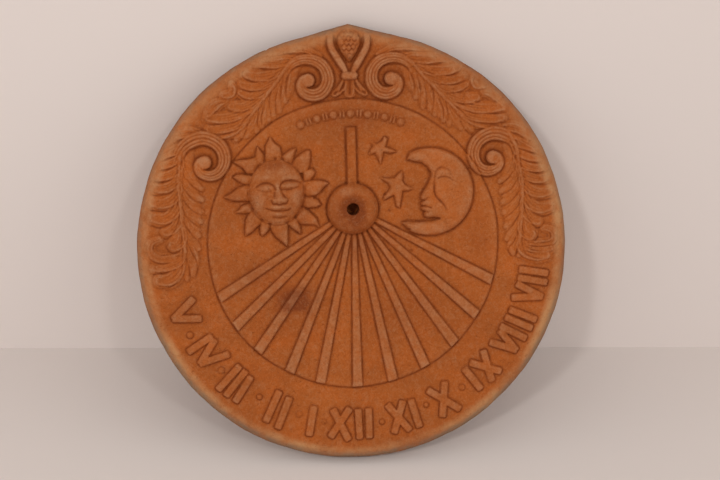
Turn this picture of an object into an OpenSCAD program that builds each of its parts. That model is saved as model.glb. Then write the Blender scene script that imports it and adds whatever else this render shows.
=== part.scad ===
// Terracotta wall sundial: a round moulded plaque with a pointed top, a raised dial field with
// sun, moon and stars, eleven hour lines that fan out from a hub with a socket, Roman hour numerals on
// the border and acanthus scrolls over the upper half.
// The front faces -Y and +Z is up. The back lies on the wall plane y = 0, and the origin is there,
// behind the centre of the round rim. Outlines are drawn as seen from the front, x right, y up.

/* [Plaque] */
// Radius of the round plaque
plaque_r = 200; // [192:0.5:215]
// Thickness of the clay at the border
plaque_t = 22; // [19:0.5:30]
// Rise of the pointed top above the round rim
peak_rise = 6.4; // [3:0.2:14]
// Rounding of the front rim
rim_r = 11; // [6:0.5:13]
// Rounding of the back edge
back_r = 2.5; // [1:0.5:4]

/* [Hanging hole] */
// Radius of the blind hole in the back
hang_r = 4; // [2.5:0.25:6]
// Depth of the blind hole
hang_depth = 12; // [8:0.5:15]
// Height of the blind hole above the plaque centre
hang_z = 150; // [120:1:170]

/* [Dial field] */
// Radius of the raised dial field
field_r = 134.4; // [130:0.2:140]
// Height of the field's centre above the plaque centre
field_z = 4.1; // [0:0.1:6]
// Height of the field over the border
field_h = 1.6; // [0.8:0.1:3]
// Width of the field's rolled edge
field_roll = 4; // [2:0.5:6]

/* [Hub] */
// Radius of the socket for the gnomon rod
gnomon_r = 5.6; // [3:0.1:7]
// Depth of the socket from its mouth in the hub
gnomon_depth = 24; // [16:0.5:26]
// Height of the hub's centre above the plaque centre
hub_z = 37.5; // [30:0.5:42]
// Radius of the hub boss
hub_r = 23.5; // [20:0.5:27]
// Height of the straight foot of the boss
hub_foot = 3.4; // [3:0.1:5]
// Height of the boss at its crest
hub_h = 9; // [7:0.5:13]
// Radius of the boss's crest
crest_r = 14; // [11:0.5:16]
// Depth of the dish around the hole
dish_depth = 2.6; // [1:0.1:4]

/* [Hour lines] */
// Width of an hour line at the hub
line_w_in = 4.2; // [3:0.1:4.6]
// Width of an hour line at the field's edge
line_w_out = 10; // [7:0.5:12]
// Height of the hour lines
line_h = 2.4; // [1.4:0.1:3]
// Width of the upright bar over the hub
bar_w = 9; // [6:0.5:12]
// Height of the bar's top end above the plaque centre
bar_top = 111.5; // [95:0.5:113]
// Height of the bar over the field
bar_h = 3; // [2:0.1:3]

/* [Numerals] */
// Half the length of a numeral's stroke
glyph_half = 13; // [10:0.5:14]
// Width of a numeral's stroke
glyph_w = 6.8; // [5:0.2:8]
// Height of the numerals over the border
glyph_h = 2; // [1.2:0.1:3]
// Radius of the dots between the numerals
dot_r = 2.9; // [2:0.1:3.4]
// Height of the dots over the border
dot_h = 1.5; // [0.8:0.1:2.5]

/* [Sun] */
// Half the width of the sun's face
sun_rx = 26; // [23:0.5:28]
// Half the height of the sun's face
sun_ry = 30.5; // [28:0.5:32]
// Height of the face's edge over the field
sun_foot = 3.6; // [3:0.1:5]
// Height of the face's crown over the field
sun_h = 10; // [8:0.5:14]
// Reach of the long rays from the face's centre
ray_long = 49; // [44:0.5:50.5]
// Reach of the short rays from the face's centre
ray_short = 43; // [38:0.5:44]
// Width of the long rays at their root
ray_w_long = 15.2; // [12:0.2:16]
// Width of the short rays at their root
ray_w_short = 10.4; // [8:0.2:12]
// Height of the rays over the field
ray_h = 3; // [2:0.1:3]

/* [Moon and stars] */
// Radius of the moon's outer edge
moon_r = 41; // [39:0.5:42]
// Height of the moon's edge over the field
moon_foot = 3; // [2:0.1:4]
// Height of the moon's crown over the field
moon_h = 6.5; // [5:0.5:9]
// Reach of the small star's points
star_small_r = 13.3; // [10:0.1:14]
// Reach of the large star's points
star_large_r = 17.6; // [14:0.1:18]
// Height of the stars over the field
star_h = 2.6; // [1.5:0.1:4]

/* [Scrolls] */
// Height of the volutes' ridges over the border
volute_h = 4.5; // [3:0.1:6]
// Height of the leaf lobes over the border
lobe_h = 3.6; // [2:0.1:5]
// Radius of the round eye of a volute
eye_r = 6.2; // [5:0.1:7]

/* [Finial and bead band] */
// Height of the finial's stems over the border
stem_h = 4.4; // [3:0.1:6]
// Width of the finial's stems
stem_w = 6.6; // [5:0.2:7.4]
// Height of the finial's collar over the border
collar_h = 6; // [4:0.1:8]
// Height of the seed bud over the border
bud_h = 5.4; // [4:0.1:8]
// Height of the tassel's petals over the border
petal_h = 2.8; // [1.5:0.1:4]
// Radius of the round beads under the finial
bead_r = 3.5; // [2.5:0.1:3.8]
// Height of the bead band over the field
bead_h = 1.8; // [1:0.1:3]

/* [Hidden] */
$fn = 96;
clay = "#b5683c";
pale_clay = "#c48055";
deep_clay = "#a3582f";

// Heights of the two seats: the border's front and the dial field's front
border_y = plaque_t;
field_y = plaque_t + field_h;
// Middle radius of the border. The numerals stand on a ring that is centred between plaque and field
border_mid = (field_r + plaque_r) / 2;
ring_r = border_mid + 1.5;
ring_c = [0, field_z / 2];
// Points of the border's ornament are drawn for a band 64.2 wide round a field of radius 135.8. They
// move out or in with the band's width, and pieces keep a size that fits its width and its length
band_k = (plaque_r - field_r) / 64.2;
fit_k = min(band_k, border_mid / 167.9);
field_k = field_r / 135.8;
field_c = [0, field_z];
// Height of the border over the field, from the field's edge to the pointed top
top_k = (plaque_r + peak_rise - field_r - field_z) / 68.3;
// The pointed top's straight flanks run nearly tangent to the rim and cross it at this angle
peak_cross = 6;
flank_r = plaque_r * cos(peak_cross);
flank_slope = acos(flank_r / (plaque_r + peak_rise));
flank_end = (plaque_r + peak_rise) * sin(flank_slope);
flank_start = plaque_r * sin(peak_cross) / 2;
flank_depth = 50;
hub = [0, hub_z];
// Height of the socket's floor over the wall
socket_y = field_y + hub_h - dish_depth - gnomon_depth;

// Hour lines from left to right, in degrees from straight down
hour_angles = [-58, -46.5, -35, -22.5, -12, 0, 11.8, 23.3, 35.5, 47.6, 61];

// Hour numerals from left to right: letters, place on the border in degrees and the hour
numerals = [
    ["V", -70.4, 5], ["IV", -56.2, 4], ["III", -42.2, 3], ["II", -26.2, 2], ["I", -14.8, 1],
    ["XII", -1.9, 12], ["XI", 14.9, 11], ["X", 28.9, 10], ["IX", 44.4, 9], ["VIII", 60.6, 8],
    ["VII", 76.2, 7]
];
dot_angles = [-63.2, -48.5, -33.4, -19.4, -10.9, 7.8, 23.1, 35.9];
// How far a letter's arms spread, and the space that each letter takes on the line
v_spread = glyph_half * 0.74;
x_spread = glyph_half * 0.58;
letter_gap = 2.4;
advance = [["I", glyph_w + letter_gap], ["V", 1.9 * v_spread], ["X", 2 * x_spread + glyph_w + 2]];

sun_c = field_c + [-70.5, 50.7] * field_k;
sun_k = sun_rx / 26.5;
drawn_moon_c = [72, 50];
drawn_moon_r = 41.5;
moon_k = moon_r / drawn_moon_r;
// The moon's right end keeps to the field, and its edge to a clearance over the last hour line
moon_gap = 0.65;
last_a = hour_angles[len(hour_angles) - 1];
moon_x = 113.5 * field_k - moon_r;
moon_c = [moon_x, hub_z + (moon_r + line_w_out / 2 + moon_gap - moon_x * cos(last_a)) / sin(last_a)];
star_small_c = field_c + [26.5, 88.7] * field_k;
star_large_c = field_c + [40, 52.7] * field_k;

// The moon's inner edge, from the upper horn over brow, nose, lips and chin to the lower horn
moon_profile = [
    [52.5, 86.2], [50.2, 82], [52, 79.4], [59, 78.4], [66.5, 76.4], [71.5, 72.4], [73.8, 67.5],
    [73.4, 62.5], [70.6, 57.2], [66.6, 52], [64, 47.6], [64.8, 45.2], [67.2, 44.6], [65.4, 42.4],
    [64.8, 39.8], [67.4, 37.6], [65, 35.4], [65.6, 33.2], [68.2, 32], [67.2, 29.2], [69.4, 25.9],
    [74, 25.2], [79.8, 24.8], [73.6, 22.4], [66, 21.2], [58, 21.4], [51.4, 22.4], [48.2, 20], [50.6, 15.2]
];

// Lobes of the right-hand leaves: root, bend, tip and width. The left-hand ones are their mirror image
top_lobes = [
    [[30, 182], [44, 188], [62, 185.5], 6], [[48, 180], [66, 182], [86, 177.5], 7],
    [[56, 176], [78, 176], [99, 167.5], 8], [[66, 167], [82, 158], [101, 161], 7],
    [[70, 164], [84, 153.5], [105, 154], 7], [[78, 156], [92, 146.5], [108, 148], 6.5],
    [[86, 147], [101, 136], [117, 140], 7], [[92, 140], [106, 129], [120, 134], 6],
    [[112, 141], [114, 152], [122, 148], 5], [[100, 131], [122, 124], [142, 133], 8],
    [[103, 127], [124, 117], [145, 124.5], 8], [[107, 122], [123, 111], [142, 115.5], 7.5],
    [[57, 170], [57, 154], [60, 140], 5.5], [[62, 165], [64, 148], [66, 131], 6],
    [[68, 160], [73, 143], [73.5, 127], 6], [[74, 154], [79, 138], [79.5, 121], 6.5],
    [[81, 148], [87, 132], [87.5, 115], 6.5], [[88, 142], [95, 124], [99, 110], 7.5],
    [[95, 134], [100, 118], [108, 106], 7], [[101, 127], [108, 112], [117, 104], 6.5]
];
top_rib = [[52, 176], [84, 152], [112, 118], 8];
top_mound = [[46, 176], [84, 158], [120, 122], 27];
side_lobes = [
    [[140, 103], [155, 108], [170, 103], 7], [[146, 98], [160, 96], [174, 96], 7],
    [[150, 93], [164, 86], [177, 86.5], 7.5], [[153, 86], [168, 76], [181, 76], 7.5],
    [[156, 78], [170, 65], [184, 65.5], 8], [[158, 69], [170, 54], [186, 54], 8],
    [[159, 60], [168, 42], [184, 42], 8], [[161, 50], [168, 32], [180, 31], 8.5],
    [[162, 40], [164, 22], [175, 19], 8.5], [[164, 24], [178, 8], [186, 22], 5.5],
    [[164, 14], [174, 0], [188, 2], 7], [[163, 8], [172, -8], [186, -11], 7.5],
    [[148, 72], [140, 62], [133, 61], 6], [[153, 66], [144, 53], [136, 49], 6.5],
    [[157, 57], [148, 43], [139, 37], 7], [[159, 46], [150, 32], [141, 25], 7],
    [[160, 36], [152, 20], [144, 12], 7], [[161, 26], [152, 6], [156, -13], 7.5],
    [[162, 16], [160, -2], [166, -16], 7]
];
side_rib = [[156, 92], [164, 50], [162, 4], 8];
side_mound = [[152, 92], [165, 50], [169, 2], 30];
volute_top_c = [38.5, 155];
volute_side_c = [135, 80];
// Turning angle, radius and width of a volute's band, from its eye outwards
volute_top = [
    [160, 4.6, 8], [180, 5.6, 9], [270, 11.4, 11.4], [360, 17.6, 12], [450, 20.3, 10.5], [520, 23, 8]
];
volute_side = [
    [160, 4.4, 8], [180, 5.2, 9], [270, 10.5, 10], [360, 17.4, 10.4], [450, 22.5, 12], [560, 25, 9]
];
volute_steps = 12;
// How wide and how high a lobe is along its length, and how wide its crest is against its foot
lobe_steps = 3;
lobe_swell = [[0, 0.5], [0.55, 1], [0.85, 0.84], [1, 0.4]];
lobe_rise = [[0, 0.8], [0.5, 1], [1, 0.55]];
lobe_crest = 0.3;
mound_h = 1.3;

bead_count = 13;
bead_inset = 13.6;
bead_ring_r = field_r - bead_inset;
bead_pitch = 3.75;
reel = [1.9, 7];

hour_names = [for (i = [1:len(hour_angles)]) str("hour_line_", i)];
numeral_names = [for (n = numerals) str("numeral_", n[2])];

// Stands what is drawn flat on a seat, thickness towards the viewer
module on_seat(seat) translate([0, -seat, 0]) rotate([90, 0, 0]) children();
module relief(seat, h) on_seat(seat) linear_extrude(h) children();

function mix(a, b, t) = a * (1 - t) + b * t;
function bend(a, b, c, n) = [for (i = [0:n]) mix(mix(a, b, i / n), mix(b, c, i / n), i / n)];
function polar(r, a) = [r * cos(a), r * sin(a)];

// Runs a ridge with sloping sides through the points of a flat path, widths and heights point by point
module ridge(path, widths, heights, crest) for (i = [0:len(path) - 2]) hull() for (k = [i, i + 1])
    translate(path[k]) cylinder(r1 = widths[k] / 2, r2 = widths[k] / 2 * crest, h = heights[k], $fn = 6);

module lobe(root, mid, tip, w) ridge(
    bend(root, mid, tip, lobe_steps),
    [for (i = [0:lobe_steps]) w * lookup(i / lobe_steps, lobe_swell)],
    [for (i = [0:lobe_steps]) lobe_h * lookup(i / lobe_steps, lobe_rise)],
    lobe_crest
);

// Section from the axis to the rim, with the rounded front and back edges
module plaque_section(r) {
    difference() {
        union() {
            square([r - rim_r, plaque_t]);
            translate([0, back_r]) square([r, plaque_t - rim_r - back_r]);
            square([r - back_r, plaque_t / 2]);
            translate([r - rim_r, plaque_t - rim_r]) circle(rim_r);
            translate([r - back_r, back_r]) circle(back_r);
        }
        translate([-r, -1]) square([r, plaque_t + 2]);
    }
}

// One straight flank of the pointed top, with the same rounded section as the rim
module peak_flank() intersection() {
    rotate([0, 0, 90 - flank_slope]) translate([0, flank_end, 0]) rotate([90, 0, 0])
        linear_extrude(flank_end - flank_start) intersection() {
            plaque_section(flank_r);
            translate([flank_r - flank_depth, -1]) square([flank_depth + 1, plaque_t + 2]);
        }
    translate([0, 0, -1]) cube([plaque_r, plaque_r + peak_rise, plaque_t + 2]);
}

module plaque() color(clay) difference() {
    on_seat(0) {
        rotate_extrude() plaque_section(plaque_r);
        peak_flank();
        mirror([1, 0, 0]) peak_flank();
    }
    on_seat(socket_y) translate(hub) cylinder(r = gnomon_r, h = plaque_t);
    on_seat(-1) translate([0, hang_z]) cylinder(r = hang_r, h = hang_depth + 1);
}

module dial_field() color(clay) on_seat(border_y) difference() {
    translate([0, field_z]) cylinder(r1 = field_r, r2 = field_r - field_roll, h = field_h);
    translate(hub) translate([0, 0, -1]) cylinder(r = gnomon_r, h = field_h + 2);
}

module hub_boss() color(pale_clay) on_seat(field_y) translate(hub) rotate_extrude() polygon(concat(
    [[gnomon_r, 0], [hub_r, 0]],
    [for (a = [0:10:90]) [crest_r + (hub_r - crest_r) * cos(a), hub_foot + (hub_h - hub_foot) * sin(a)]],
    [for (a = [10:20:90]) [crest_r - (crest_r - gnomon_r) * sin(a), hub_h - dish_depth * (1 - cos(a))]]
));

module upright_bar() color(pale_clay) relief(field_y, bar_h) difference() {
    translate([-bar_w / 2, hub_z]) square([bar_w, bar_top - hub_z]);
    translate(hub) circle(hub_r);
}

module hour_line(i) color(pale_clay) relief(field_y, line_h) difference() {
    intersection() {
        translate(hub) rotate(hour_angles[i]) polygon([
            [-line_w_in / 2, 0], [line_w_in / 2, 0],
            [line_w_out / 2, -field_r - hub_z], [-line_w_out / 2, -field_r - hub_z]
        ]);
        translate([0, field_z]) circle(field_r - field_roll);
    }
    translate(hub) circle(hub_r);
}

// Straight stroke with round ends from p to q
module stroke(p, q, w) translate(p) rotate(atan2(q.y - p.y, q.x - p.x)) polygon(concat(
    [for (a = [-90:15:90]) [norm(q - p), 0] + polar(w / 2, a)],
    [for (a = [90:15:270]) polar(w / 2, a)]
));

module letter(c) {
    if (c == "I") stroke([0, -glyph_half], [0, glyph_half], glyph_w);
    else for (s = [-1, 1])
        if (c == "V") stroke([0, -glyph_half], [s * v_spread, glyph_half - 1], glyph_w);
        else stroke([-s * x_spread, -glyph_half], [s * x_spread, glyph_half], glyph_w);
}

function width_of(c) = advance[search(c, advance)[0]][1];
function line_width(text, n) = n == 0 ? 0 : width_of(text[n - 1]) + line_width(text, n - 1);

module numeral(n) color(pale_clay) relief(border_y, glyph_h)
    translate(ring_c) rotate(n[1]) translate([0, -ring_r]) for (i = [0:len(n[0]) - 1])
        translate([line_width(n[0], i) + width_of(n[0][i]) / 2 - line_width(n[0], len(n[0])) / 2, 0])
            letter(n[0][i]);

module numeral_dots() color(pale_clay) on_seat(border_y)
    for (a = dot_angles) translate(ring_c) rotate(a) translate([0, -ring_r])
        cylinder(r1 = dot_r, r2 = dot_r * 0.6, h = dot_h);

// Egg-shaped outline of the sun's face, narrower at the chin
module sun_outline(grow) polygon([
    for (a = [0:7.5:352.5]) [(sun_rx + grow) * cos(a) * (1 + 0.05 * sin(a)), (sun_ry + grow) * sin(a)]
]);

// Sixteen leaf-shaped rays, long and short in turn, butted against the face
module sun_rays() color(pale_clay) relief(field_y, ray_h) translate(sun_c) difference() {
    for (i = [0:15]) rotate(5 + 22.5 * i) {
        reach = i % 2 == 0 ? ray_long : ray_short;
        half = (i % 2 == 0 ? ray_w_long : ray_w_short) / 2;
        root = sun_rx * 0.77;
        run = reach - sun_rx;
        polygon([
            [root, -half], [sun_rx + run * 0.18, -half], [sun_rx + run * 0.6, -half * 0.66],
            [reach, half * 0.1], [sun_rx + run * 0.6, half * 0.52], [sun_rx + run * 0.22, half * 0.9],
            [root, half]
        ]);
    }
    sun_outline(0);
}

// Sphere that domes the face from its edge to its crown
sun_dome_r = (sun_rx * sun_rx + (sun_h - sun_foot) * (sun_h - sun_foot)) / (2 * (sun_h - sun_foot));
function sun_z(x, y) = sun_h - sun_dome_r + sqrt(sun_dome_r * sun_dome_r - x * x - y * y);

// A rounded cord bent along an arc, for lids, brows and lips
module arc_bead(r, thick, from, to)
    rotate_extrude(angle = to - from, start = from) translate([r, 0]) circle(thick);

// Sets a feature at p over the domed face, at the dome's height for the given distance up or down
module on_face(p, y, lift)
    translate([p.x * sun_k, p.y * sun_k, sun_z(p.x * sun_k, y * sun_k) + lift * sun_k])
        scale([sun_k, sun_k, sun_k]) children();

module sun_face() color(clay) on_seat(field_y) translate(sun_c) {
    intersection() {
        linear_extrude(sun_h) sun_outline(0);
        translate([0, 0, sun_h - sun_dome_r]) sphere(sun_dome_r, $fn = 160);
    }
    on_face([1, 9], 9, -1.4) rotate([94, 0, 3]) cylinder(r1 = 1.5, r2 = 2.9, h = 15);
    on_face([2, -6.4], 7, -0.4) sphere(3.2);
    for (x = [-1.8, 5.6]) on_face([x, -7.4], 7, -0.6) sphere(2.2);
    for (x = [-9.5, 12]) {
        on_face([x, 5.4], 5, -3.2) sphere(5);
        on_face([x, 0.5], 6, 0) arc_bead(8.6, 0.9, 35, 145);
        on_face([x, 3], 12, 0.1) arc_bead(11, 1.1, 50, 130);
    }
    on_face([1.5, -4.5], 14, 0) arc_bead(9.6, 1.2, 228, 312);
    on_face([1.5, -9], 17, 0) arc_bead(9, 1.3, 236, 304);
}

moon_dome_r = (moon_r * moon_r + (moon_h - moon_foot) * (moon_h - moon_foot)) / (2 * (moon_h - moon_foot));

function at_moon(p) = moon_c + (p - drawn_moon_c) * moon_k;
moon_left = drawn_moon_c.x - drawn_moon_r - 4;

module moon_outline() difference() {
    translate(moon_c) circle(moon_r);
    polygon([
        for (p = concat(moon_profile, [[moon_left, 15.2], [moon_left, 86.2]])) at_moon(p)
    ]);
}

module moon() color(pale_clay) on_seat(field_y) difference() {
    intersection() {
        linear_extrude(moon_h) moon_outline();
        translate([moon_c.x, moon_c.y, moon_h - moon_dome_r]) sphere(moon_dome_r, $fn = 160);
    }
    translate([0, 0, moon_h]) {
        translate(at_moon([92, 56])) arc_bead(16 * moon_k, 1.4, 150, 245);
        translate(at_moon([87, 58])) arc_bead(11 * moon_k, 1, 55, 125);
        translate(at_moon([88, 71])) arc_bead(9 * moon_k, 0.8, 230, 300);
    }
}

module star(c, r, turn) color(pale_clay) relief(field_y, star_h) translate(c) rotate(turn) polygon([
    for (i = [0:9]) polar(i % 2 == 0 ? r : r * 0.47, 36 * i)
]);
module star_small() star(star_small_c, star_small_r, 64);
module star_large() star(star_large_c, star_large_r, 69);

// Round beads and pairs of upright reels in turn, on an arc inside the field's edge
module bead_band() color(pale_clay) on_seat(field_y) translate([0, field_z])
    for (i = [0:bead_count - 1]) rotate((i - (bead_count - 1) / 2) * bead_pitch) translate([0, bead_ring_r])
        if (i % 2 == 0) cylinder(r1 = bead_r, r2 = bead_r * 0.6, h = bead_h);
        else for (s = [-1, 1])
            translate([s * reel.x * 0.75 - reel.x / 2, -reel.y / 2]) cube([reel.x, reel.y, bead_h]);

// The finial's points are drawn upwards from the field's top, and keep to the width of the border
function at_finial(p) = [p.x * fit_k, field_z + field_r + p.y * top_k];
bud_half = [[0, 33.9], [4, 38.9], [8, 44.9], [9.6, 50.9], [9, 56.9], [6, 61.9]];
bud_dome_r = 22;
scale_r = 3.4;
scale_pitch = 4.6;
collar_w = 7.2;
collar_ends = [[-5.4, 21.5], [5.4, 21.5]];

module finial_bud() color(clay) on_seat(border_y) intersection() {
    linear_extrude(bud_h) polygon([
        for (p = concat(bud_half, [[0, 64.4]], [for (i = [5:-1:1]) [-bud_half[i].x, bud_half[i].y]]))
            at_finial(p)
    ]);
    union() {
        translate(at_finial([0, 49.4])) translate([0, 0, bud_h - 1 - bud_dome_r * fit_k])
            sphere(bud_dome_r * fit_k);
        for (row = [0:5]) for (col = [-2:2])
            translate(at_finial([col + row % 2 / 2, 8.2 + row] * scale_pitch)) translate([0, 0, bud_h - 3.8])
                sphere(scale_r * fit_k, $fn = 32);
    }
}

module finial_stems() color(pale_clay) on_seat(border_y) for (s = [0, 1]) mirror([s, 0, 0]) ridge(
    bend(at_finial([3.8, 25.9]), at_finial([15.6, 38.9]), at_finial([16.6, 57.9]), 6),
    [for (i = [0:6]) stem_w * fit_k * lookup(i / 6, [[0, 0.8], [0.4, 1], [1, 0.6]])],
    [for (i = [0:6]) stem_h * lookup(i / 6, [[0, 1], [0.7, 1], [1, 0.5]])],
    0.4
);

module collar_outline() stroke(at_finial(collar_ends[0]), at_finial(collar_ends[1]), collar_w * fit_k);
module finial_collar() color(pale_clay) relief(border_y, collar_h) collar_outline();

module oval(rx, ry) polygon([for (a = [0:15:345]) [rx * cos(a), ry * sin(a)]]);

// Three open petals that hang from the collar
module finial_tassel() color(pale_clay) relief(border_y, petal_h) difference() {
    for (lean = [-40, 0, 40])
        translate(at_finial([0, 19.9])) rotate(lean) translate([0, -9.8 * fit_k]) difference() {
            oval(5 * fit_k, 9.8 * fit_k);
            oval(2.2 * fit_k, 6.2 * fit_k);
        }
    collar_outline();
}

// Keeps a point's direction from the plaque's centre, fits its distance to the border's width, and
// holds it on the flat inside the rounded rim
function on_border(p) = p / norm(p) * (field_r + (min(norm(p), 185) - 135.8) * band_k);

// Band of three cords that winds in to a round eye
module volute(c, band) translate(on_border(c)) {
    first = band[0][0];
    turns = [for (i = [0:volute_steps]) first + i * (band[len(band) - 1][0] - first) / volute_steps];
    radii = [for (a = turns) fit_k * lookup(a, [for (b = band) [b[0], b[1]]])];
    widths = [for (a = turns) fit_k * lookup(a, [for (b = band) [b[0], b[2]]])];
    for (cord = [-1:1]) ridge(
        [for (i = [0:volute_steps]) polar(radii[i] + cord * widths[i] * 0.32, 180 - turns[i])],
        widths * 0.38,
        [for (a = turns) volute_h - abs(cord) * 0.5],
        0.5
    );
    cylinder(r1 = eye_r * fit_k, r2 = eye_r * fit_k * 0.6, h = volute_h + 1.2, $fn = 16);
}

// A volute with its leaf: separate lobes over a shallow mound
module scroll(c, band, lobes, mound) color(clay) on_seat(border_y) {
    volute(c, band);
    for (l = lobes) lobe(on_border(l[0]), on_border(l[1]), on_border(l[2]), l[3] * fit_k);
    ridge(
        bend(on_border(mound[0]), on_border(mound[1]), on_border(mound[2]), 4),
        [for (w = [0.5, 0.9, 1, 0.9, 0.5]) w * mound[3] * fit_k],
        [for (i = [0:4]) mound_h],
        0.9
    );
}
module scroll_top_right() scroll(volute_top_c, volute_top, concat(top_lobes, [top_rib]), top_mound);
module scroll_top_left() mirror([1, 0, 0]) scroll_top_right();
module scroll_side_right() scroll(volute_side_c, volute_side, concat(side_lobes, [side_rib]), side_mound);
module scroll_side_left() mirror([1, 0, 0]) scroll_side_right();

plaque();
dial_field();
hub_boss();
upright_bar();
for (i = [0:len(hour_angles) - 1]) hour_line(i);
for (i = [0:len(numerals) - 1]) numeral(numerals[i]);
numeral_dots();
sun_rays();
sun_face();
moon();
star_small();
star_large();
bead_band();
finial_bud();
finial_stems();
finial_collar();
finial_tassel();
scroll_top_left();
scroll_top_right();
scroll_side_left();
scroll_side_right();
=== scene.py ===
import math

import bmesh
import bpy
import numpy as np
from mathutils import Matrix, Vector


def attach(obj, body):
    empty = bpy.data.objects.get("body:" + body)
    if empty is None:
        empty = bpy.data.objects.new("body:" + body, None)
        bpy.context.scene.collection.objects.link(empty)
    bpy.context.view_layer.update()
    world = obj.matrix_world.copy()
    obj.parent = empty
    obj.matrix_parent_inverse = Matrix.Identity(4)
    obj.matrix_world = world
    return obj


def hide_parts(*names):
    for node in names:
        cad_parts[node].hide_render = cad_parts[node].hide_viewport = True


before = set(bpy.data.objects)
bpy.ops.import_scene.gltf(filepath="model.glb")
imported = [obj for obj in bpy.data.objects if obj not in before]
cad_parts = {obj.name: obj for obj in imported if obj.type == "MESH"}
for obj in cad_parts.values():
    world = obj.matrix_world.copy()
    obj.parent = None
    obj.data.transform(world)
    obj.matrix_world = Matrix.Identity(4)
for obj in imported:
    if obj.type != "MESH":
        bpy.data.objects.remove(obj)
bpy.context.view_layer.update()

bl_info = {
    "name": "Terracotta Wall Sundial",
    "version": (1, 0, 0),
    "blender": (4, 5, 0),
    "location": "3D View > Sidebar > Sundial",
    "description": "Dresses a moulded terracotta wall sundial in soft fired clay",
    "category": "Add Mesh",
}

MM = 0.001

# The front of the plaque is modelled as one clay map: heights over the wall in millimetres on an
# even grid, x to the right and z up, seen from the front. Every piece takes its surface from it.
STEP = 0.5
LEFT, LOW = -204.0, -204.0
COLUMNS, ROWS = 817, 831

# The slab with its pointed top, in millimetres from the centre of the round rim
PLAQUE_R, PLAQUE_T, RIM_R, BACK_R, PEAK_Z = 200.0, 22.0, 11.0, 2.5, 206.4
PEAK_A = math.acos(PLAQUE_R / PEAK_Z)
HANG_Z, HANG_R, HANG_DEPTH = 150.0, 4.0, 12.0

# What is drawn on the front is laid on the slab at this scale and this much higher
SCALE, LIFT = 0.989, 1.85

# The dial field, the hub and the larger forms, as they are drawn on the front
FIELD_R, FIELD_Z, FIELD_H = 135.8, 2.3, 1.7
HUB_Z, HUB_R, SOCKET_R, SOCKET_FLOOR = 36.0, 23.8, 5.6, 6.0
BAR_TOP, BAR_HALF, BAR_H, LINE_H = 109.6, 4.5, 2.8, 1.7
NUMERAL_HALF, NUMERAL_H = 3.5, 1.9
BEAD_COUNT, BEAD_RING, BEAD_TURN = 13, 122.3, 3.72
SUN_C, SUN_RX, SUN_RZ = (-70.5, 53.0), 26.5, 31.0
MOON_C, MOON_R = (72.3, 49.9), 41.2

# Height over the wall of a piece's hidden foot: on the field, on the border, and under the scrolls
FIELD_FOOT, BORDER_FOOT, SCROLL_FOOT = 21.0, 19.5, 17.0

HOUR_ENDS = [
    (-127, -44), (-112, -71), (-91, -94), (-62, -114), (-34.5, -128), (0.5, -132.5),
    (34, -127), (64.5, -114), (92.5, -93), (113.5, -67), (127.5, -34),
]

# Strokes of the hour numerals: both ends of each centre line
NUMERALS = {
    5: [(-170, -62.5, -151.5, -44.5), (-170, -62.5, -145.5, -63)],
    4: [(-157, -94, -136, -80.5), (-146.5, -105.5, -133, -84), (-146.5, -105.5, -120.5, -98)],
    3: [(-130.5, -131, -110.5, -110), (-123.5, -137, -105, -115), (-115, -143, -100.5, -121)],
    2: [(-87, -163, -74, -136), (-76, -170, -64.5, -142.5)],
    1: [(-46.5, -178, -41.5, -152)],
    12: [
        (-23, -155.5, -9.5, -184), (-8, -155, -26, -180.5), (0.5, -156.5, 1.5, -183),
        (10.5, -156, 10.5, -182.5),
    ],
    11: [(29, -153, 49, -177), (43, -150, 34.5, -179), (51, -149, 58.5, -174)],
    10: [(68, -140, 97, -158.5), (83.5, -133, 81, -165)],
    9: [(103, -120.5, 117.5, -139.5), (121, -104, 128.5, -132), (109, -114.5, 136.5, -123.5)],
    8: [
        (152, -103.5, 128.5, -95.5), (152, -103.5, 137.5, -85), (138.5, -80.5, 161, -92.5),
        (143.5, -72, 167, -83), (147.5, -65, 171, -75),
    ],
    7: [
        (177, -53, 150, -53.2), (177, -53, 154.5, -40.5), (156, -34.5, 181.5, -39.5),
        (157.5, -26.5, 182.5, -31),
    ],
}
DOTS = [
    (-155.5, -78.5, 3.3), (-127.5, -113, 3.2), (-92.5, -140, 2.8), (-55.5, -158, 3.0),
    (-32, -166, 2.2), (23, -168.5, 2.6), (65.5, -154, 2.5), (100, -138, 3.0),
]

# How much paler with dust and painted highlight the tops of some pieces are; below zero, less
PIECE_DUST_AND_HIGHLIGHT = {
    "moon": 0.14, "upright_bar": -0.6, "finial_stems": 0.4, "finial_collar": 0.5, "sun_face": 0.05,
    "hub_boss": -0.35, "numeral_dots": -0.4,
}

# Spots where dust has gathered or has been rubbed away, and painted highlights: place, reach across and up, and
# strength
SPOT_DUST_AND_HIGHLIGHT = [
    (-68, 47, 4.6, 2.8, 0.8), (-69.5, 55, 1.8, 7, 0.7), (-68, 40.6, 6.5, 1.6, 0.8),
    (-68, 33.8, 5.5, 1.5, 0.6), (-68, 25.8, 7, 3, 0.5), (-80, 68, 6.5, 2.2, 0.6), (-58.5, 67.5, 7, 2.2, 0.55),
    (-70, 73, 12, 3, 0.3), (-86, 48, 4.5, 8, 0.45), (-53, 48, 4.5, 8, 0.45), (-80, 58, 4.5, 1.8, 0.4),
    (-58.5, 60, 5, 1.6, 0.4), (-6, 53, 7, 4.5, 0.5), (70, 41, 3, 1.6, 0.6), (71.5, 50, 4.5, 15, -0.35),
    (86, 66, 7, 4, 0.15), (-38, 156, 5, 4, 0.4), (38, 156, 5, 4, 0.4), (-136, 83, 5, 4, 0.3),
    (132.5, 80, 5, 4, 0.5),
]
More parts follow.
